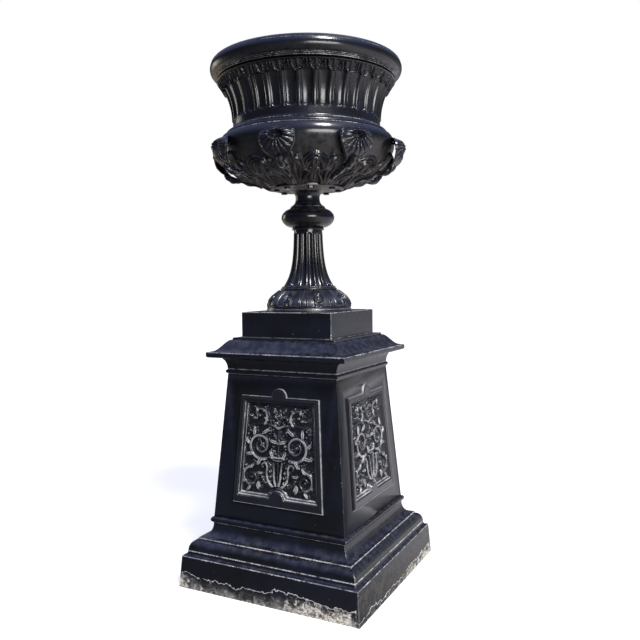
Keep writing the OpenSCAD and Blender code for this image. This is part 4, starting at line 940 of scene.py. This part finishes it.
def tongues(across, z, period):
    """Height of the tongues and, between them, of a spear with a berry."""
    w = 19 + 2.5 * smooth(1542, RIM_Z, z)
    w = np.where(z < TONGUE_SIDE_Z, w * half_round((TONGUE_SIDE_Z - z) / 17) ** 0.8, w)
    d = w - across
    border = 7.2 * half_round((d - 2.4) / 2.6)
    dart = 3.8 * half_round(across / (1.4 + 2.6 * smooth(1532, 1556, z)))
    veins = 1.7 * np.clip(np.cos((z + 1.15 * across) * 0.62), 0, 1) * smooth(3.5, 7, d)
    tongue = np.maximum(border, 3.4 - 1.2 * smooth(2, 9, d) + np.maximum(dart, veins))
    off = period / 2 - across
    berry = dome(off, z, 0, 1551, 4.5, 6)
    spear = 5.0 * half_round(off / (0.4 + 3.6 * smooth(1535, 1548, z))) * (z > 1534)
    return np.where((d > 0) & (z > TONGUE_TIP_Z), tongue, 0), np.maximum(berry, spear)


def neck_relief(az, outline):
    """Broad hollows between narrow rounded reeds, with a row of tongues above them."""
    z, r = outline[:, 1:], outline[:, :1]
    x = np.abs(from_nearest((np.degrees(az)[None, :] - HANDLE_TURN) / 360 * REEDS, 1))
    period = TURN * r / REEDS
    rise = np.clip((z - FLUTE_Z - lag(0.30 * period, (0.5 - x) * period)) / 6, 0, 1)
    hollow = 5.2 * half_round((0.5 - x) / 0.30) * half_round(1 - rise)
    rise = np.clip((z - FLUTE_Z + 1 - lag(0.14 * period, x * period)) / 4, 0, 1)
    reed = 2.8 * half_round(x / 0.135) * half_round(1 - rise)
    groove = 1.6 * hump(x, 0.165, 0.022) * smooth(FLUTE_Z + 1, FLUTE_Z + 6, z)
    tongue, between = tongues(x * period, z, period)
    h = (reed - hollow - groove) * (1 - smooth(1526, 1538, z)) + between * smooth(1534, 1538, z)
    h = np.where(tongue > 0, np.maximum(tongue, h), h)
    band = smooth(1554, 1560, z)
    return (h * (1 - band) + 7 * band) * (z > FLUTE_Z - 4)


neck_inner = [(244.5, RIM_Z), (244.5, RIM_Z - 8), (255, RIM_Z - 8), (234, 1500), (222, 1460), (219, FLUTE_Z),
              (219, SEAM_Z)]
lathe("neck_band", neck_outline(), neck_inner, 30 * REEDS, BOWL, "bowl_neck", neck_relief, angle=70)

rim = [(280, 0), *bead(280, 0, 4.2, 3.2, 8), (280.5, 4.5), *bead(281.5, 4.8, 3.0, 2.6, 6), (283, 8.2),
       *bead(284.5, 8.5, 2.4, 2.0, 6), (286.2, 11.2)]
roll = [(287, 11.6), (293.4, 15.6), (297.8, 21.2), (300, 27.4), (300.6, 33), (300.2, 38), (298.4, 44)]
rim += [*spline(roll, 7), (297.6, 45), (297.9, 45.8)]
rim += [*spline([(297.4, 46.8), (295, 51), (290.8, 55), (286, 57.4), (280, 58)], 6),
        *spline([(274, 56.6), (270.2, 53), (269, 48), (276, 40)], 5)]
rim_back = [(290.5, 36), (291, 27), (281, 16), (265, 8), (244.5, 8), (244.5, 0)]
lathe("rim_roll", soften(fine(raised(rim, RIM_Z), 3), 0.4), raised(rim_back, RIM_Z), 320, BOWL, "bowl_rim")


# Scroll handles: how far the shell's crest, back and edge stand out at each height
CREST = np.array([(-63, -14), (-58, -3), (-52, 9), (-44, 19), (-36, 25), (-28, 27.5), (-20, 27), (-14, 27.5),
                  (-8, 31), (0, 35), (8, 36.5), (15, 35), (22, 29.5), (28, 21), (32, 10), (34, 0)])
BACK = np.array([(-63, -20), (-56, -10), (-50, -4), (-42, 1), (-34, 4), (-20, 7), (-8, 8.5), (4, 8), (12, 5),
                 (20, 3), (28, 0), (34, -5)])
EDGE = np.array([(-63, -15), (-50, 5), (-36, 16), (-20, 21), (-4, 22), (10, 20), (22, 13), (30, 4), (34, -3)])
SHELL_UP, SHELL_SIDE, SHELL_DOWN = 34.0, 56.0, 62.0
SHELL_RIBS, HOLLOW_Y = 17, 5.0


def shell_crest(x, y, rho):
    """How far the face stands out: ribs run all round from a deep hollow."""
    d = np.interp(y, CREST[:, 0], CREST[:, 1]) - x ** 2 / 700
    hollow = np.hypot(x / 20.0, (y - HOLLOW_Y) / 11.0)
    d = d - 24 * smooth(1.35, 0.35, hollow)
    q = 2 * ((np.arctan2(x, y - HOLLOW_Y) / TURN * SHELL_RIBS) % 1) - 1
    return d + 6.5 * (half_round(q) - 0.7) * smooth(0.7, 1.3, hollow) * smooth(1.0, 0.86, rho)


def handle_shell(turns=200, rings=44):
    """The curled shell: a front and a back skin that share one outline."""
    phi = np.arange(turns) / turns * TURN
    c, s = np.cos(phi), np.sin(phi)
    above = 1 / np.hypot(c / SHELL_SIDE, s / SHELL_UP)
    below = 1 / (np.abs(c / SHELL_SIDE) ** 1.8 + np.abs(s / SHELL_DOWN) ** 1.8) ** (1 / 1.8)
    reach = np.where(s >= 0, above, below)
    rho = np.sin(np.linspace(0, math.pi / 2, rings + 1)[1:])[:, None]
    x, y = rho * reach * c, rho * reach * s
    edge = (np.interp(y, EDGE[:, 0], EDGE[:, 1]) - x ** 2 / 700)[-1:]
    t = rho ** 5
    lip = np.exp(-((1 - rho) * 50 - 2.6) ** 2 / 3.5)
    front = shell_crest(x, y, rho) * (1 - t) + edge * t + 2.8 * lip
    back = np.interp(y, BACK[:, 0], BACK[:, 1]) + x ** 2 / 170
    rear = np.minimum(back * (1 - t) + edge * t, front - 3.0 * (1 - t))
    clear = bowl_r(np.clip(HANDLE_Z + y, 1240, 1400)) - BELLY_R + 0.6 - x ** 2 / 620
    rear = np.maximum(rear, np.minimum(clear, front - 0.5))
    skins = [*np.stack([x, y, front], -1), *np.stack([x, y, rear], -1)[-2::-1]]
    verts = np.vstack([[(0, 0, float(shell_crest(0.0, 0.0, 0.0)))], *skins, [(0, 0, 2.0)]])
    last, base = len(verts) - 1, 1 + turns * (len(skins) - 1)
    faces = [[0, 1 + (j + 1) % turns, 1 + j] for j in range(turns)]
    faces += (quads(len(skins), turns) + 1).tolist()
    faces += [[last, base + j, base + (j + 1) % turns] for j in range(turns)]
    worn = np.zeros(len(verts))
    worn[1:1 + turns * rings] = (0.5 * lip + 0 * x).ravel()
    return verts, faces, worn


def twisted_bar(path, radii, sides=20, twist=0.55, strands=4):
    """A bar of twisted strands along a path in the plane x = 0, with y up and z outward."""
    rows = len(path)
    along = np.gradient(path, axis=0)
    along /= np.linalg.norm(along, axis=1)[:, None]
    ang = np.arange(sides) / sides * TURN
    r = radii[:, None] * (1 + 0.12 * np.cos(strands * ang + twist * np.arange(rows)[:, None]))
    side = r * np.sin(ang)
    y, z = path[:, 1:2] + along[:, 2:] * side, path[:, 2:] - along[:, 1:2] * side
    faces = quads(rows, sides).tolist()
    faces += [list(range(sides))[::-1], [(rows - 1) * sides + j for j in range(sides)]]
    return np.stack([r * np.cos(ang), y, z], -1).reshape(-1, 3), faces


def handle():
    """A shell with the stalk that rises to it from under the bowl."""
    verts, faces, worn = handle_shell()
    stalk = [(0, float(bowl_z(r)) - HANDLE_Z - 8.5, r - BELLY_R + 2) for r in (150, 175, 200, 222)]
    path = spline(stalk + [(0, -71, -35), (0, -68, -20), (0, -60, -7), (0, -49, 3)], 7)
    radii = np.interp(np.linspace(0, 1, len(path)), [0, 0.3, 0.75, 1], [6, 8.5, 10.5, 9])
    bar, bar_faces = twisted_bar(path, radii)
    faces += [[len(verts) + k for k in f] for f in bar_faces]
    return np.vstack([verts, bar]), faces, np.hstack([worn, np.full(len(bar), 0.15)])


verts, faces, worn = handle()
for k in range(HANDLES):
    az = math.radians(HANDLE_TURN + 360 / HANDLES * k)
    outward, across = (math.sin(az), -math.cos(az), 0), (math.cos(az), math.sin(az), 0)
    placed = np.outer(BELLY_R + verts[:, 2], outward) + np.outer(verts[:, 0], across)
    placed[:, 2] = HANDLE_Z + verts[:, 1]
    add(f"shell_handle_{k + 1}", placed, faces, worn, SHELL, "urn", f"scroll_handle_{k + 1}", angle=65)


# Floor, lights and camera, in metres
# The ground and the sky are lighter on the side that the right faces mirror, along AWAY
AWAY, LEFT, REAR = (0.47, 0.88), (-0.88, -0.47), (0.16, 0.72)
FLOOR = [(-30, -30, 0), (30, -30, 0), (30, 30, 0), (-30, 30, 0)]


def toward(t, way, lo, hi):
    """0 to 1 along the direction."""
    return t.step(t.plus(t.times(t.axis(0), way[0]), t.times(t.axis(1), way[1])), lo, hi)


def pale_floor():
    """Plain to the camera, with patches that only the paint mirrors."""
    t = Tree("pale_floor")
    seen = t.node("ShaderNodeLightPath").outputs["Is Camera Ray"]
    ground = t.mix(toward(t, AWAY, -0.6, 0.9), (0.10, 0.105, 0.11), (0.74, 0.71, 0.65))
    ground = t.mix(toward(t, AWAY, 8.0, 13.0), ground, (0.28, 0.27, 0.25))
    # bare earth far to the left, which only the bowl's underside mirrors
    earth = t.times(toward(t, LEFT, 0.3, 1.4), toward(t, REAR, -0.3, 0.3))
    ground = t.mix(earth, ground, (0.62, 0.48, 0.32))
    colour = t.mix(seen, ground, (0.45, 0.45, 0.45))
    return t.done(Base_Color=colour, Roughness=0.9, Specular_IOR_Level=0.0, Emission_Color=(1, 1, 1, 1),
                  Emission_Strength=t.times(seen, 0.72))


def sky():
    """White to the camera; the paint mirrors it pale low on the bright side and blue above."""
    t = Tree("sky", world=True)
    seen = t.node("ShaderNodeLightPath").outputs["Is Camera Ray"]
    height = t.axis(2)
    band = t.times(toward(t, AWAY, -0.4, 0.8), t.step(height, 0.26, 0.12))
    zenith = t.times(toward(t, AWAY, 0.05, 0.35), t.step(height, 0.75, 0.95))
    low = t.mix(band, (0.062, 0.066, 0.072), (0.24, 0.245, 0.245))
    high = t.mix(zenith, (0.35, 0.42, 0.85), (0.85, 0.9, 1.0))
    air = t.mix(t.step(height, 0.22, 0.85), low, high)
    air = t.mix(t.step(height, 0.02, -0.02), air, (0.10, 0.09, 0.08))
    return t.done(Color=t.mix(seen, air, (1.0, 1.0, 1.0)), Strength=1.0)


def turned(degrees, axis):
    return Matrix.Rotation(math.radians(degrees), 4, axis)


def lamp(name, az, elevation, distance, size, power, colour, target=(0, 0, 1.1)):
    """An area light at the target, or with no size a sun as wide as the distance in degrees."""
    data = bpy.data.lights.new(name, "AREA" if size else "SUN")
    if size:
        data.shape, data.size, data.size_y = "RECTANGLE", *size
    else:
        data.angle = math.radians(distance)
    data.energy, data.color = power, colour
    away = turned(az, "Z") @ turned(90 - elevation, "X") @ Matrix.Translation((0, 0, distance))
    place(name, data).matrix_world = Matrix.Translation(target) @ away


floor_mesh = bpy.data.meshes.new("floor")
floor_mesh.from_pydata(FLOOR, [], [(0, 1, 2, 3)])
floor_mesh.materials.append(pale_floor())
place("floor", floor_mesh)
scene.world = sky()
lamp("key", 56, 50, 12, None, 3.2, (1.0, 0.98, 0.95))
lamp("glow", 47, 4, 4.0, (2.2, 1.1), 100, (1.0, 0.99, 0.98))
lamp("side", 150, -2, 4.5, (4.5, 0.9), 3.0, (1.0, 0.99, 0.94))
lamp("left", -98, 6, 4.0, (1.1, 1.6), 15, (1.0, 0.94, 0.84))

# The photo's camera; its pan counts from the pedestal's turn
CAMERA_AT = (1.0535, -1.9705, 0.9309)
LENS, PAN, PITCH, ROLL, PEDESTAL_TURN = 39.08, 0.89, -3.03, -0.69, 28.13

camera_data = bpy.data.cameras.new("camera")
camera_data.lens, camera_data.sensor_width, camera_data.clip_end = LENS, 36.0, 60.0
camera = place("camera", camera_data)
camera.matrix_world = (Matrix.Translation(CAMERA_AT) @ turned(PEDESTAL_TURN - PAN, "Z")
                       @ turned(90 + PITCH, "X") @ turned(ROLL, "Z"))
scene.camera = camera
scene.view_settings.view_transform = "Standard"
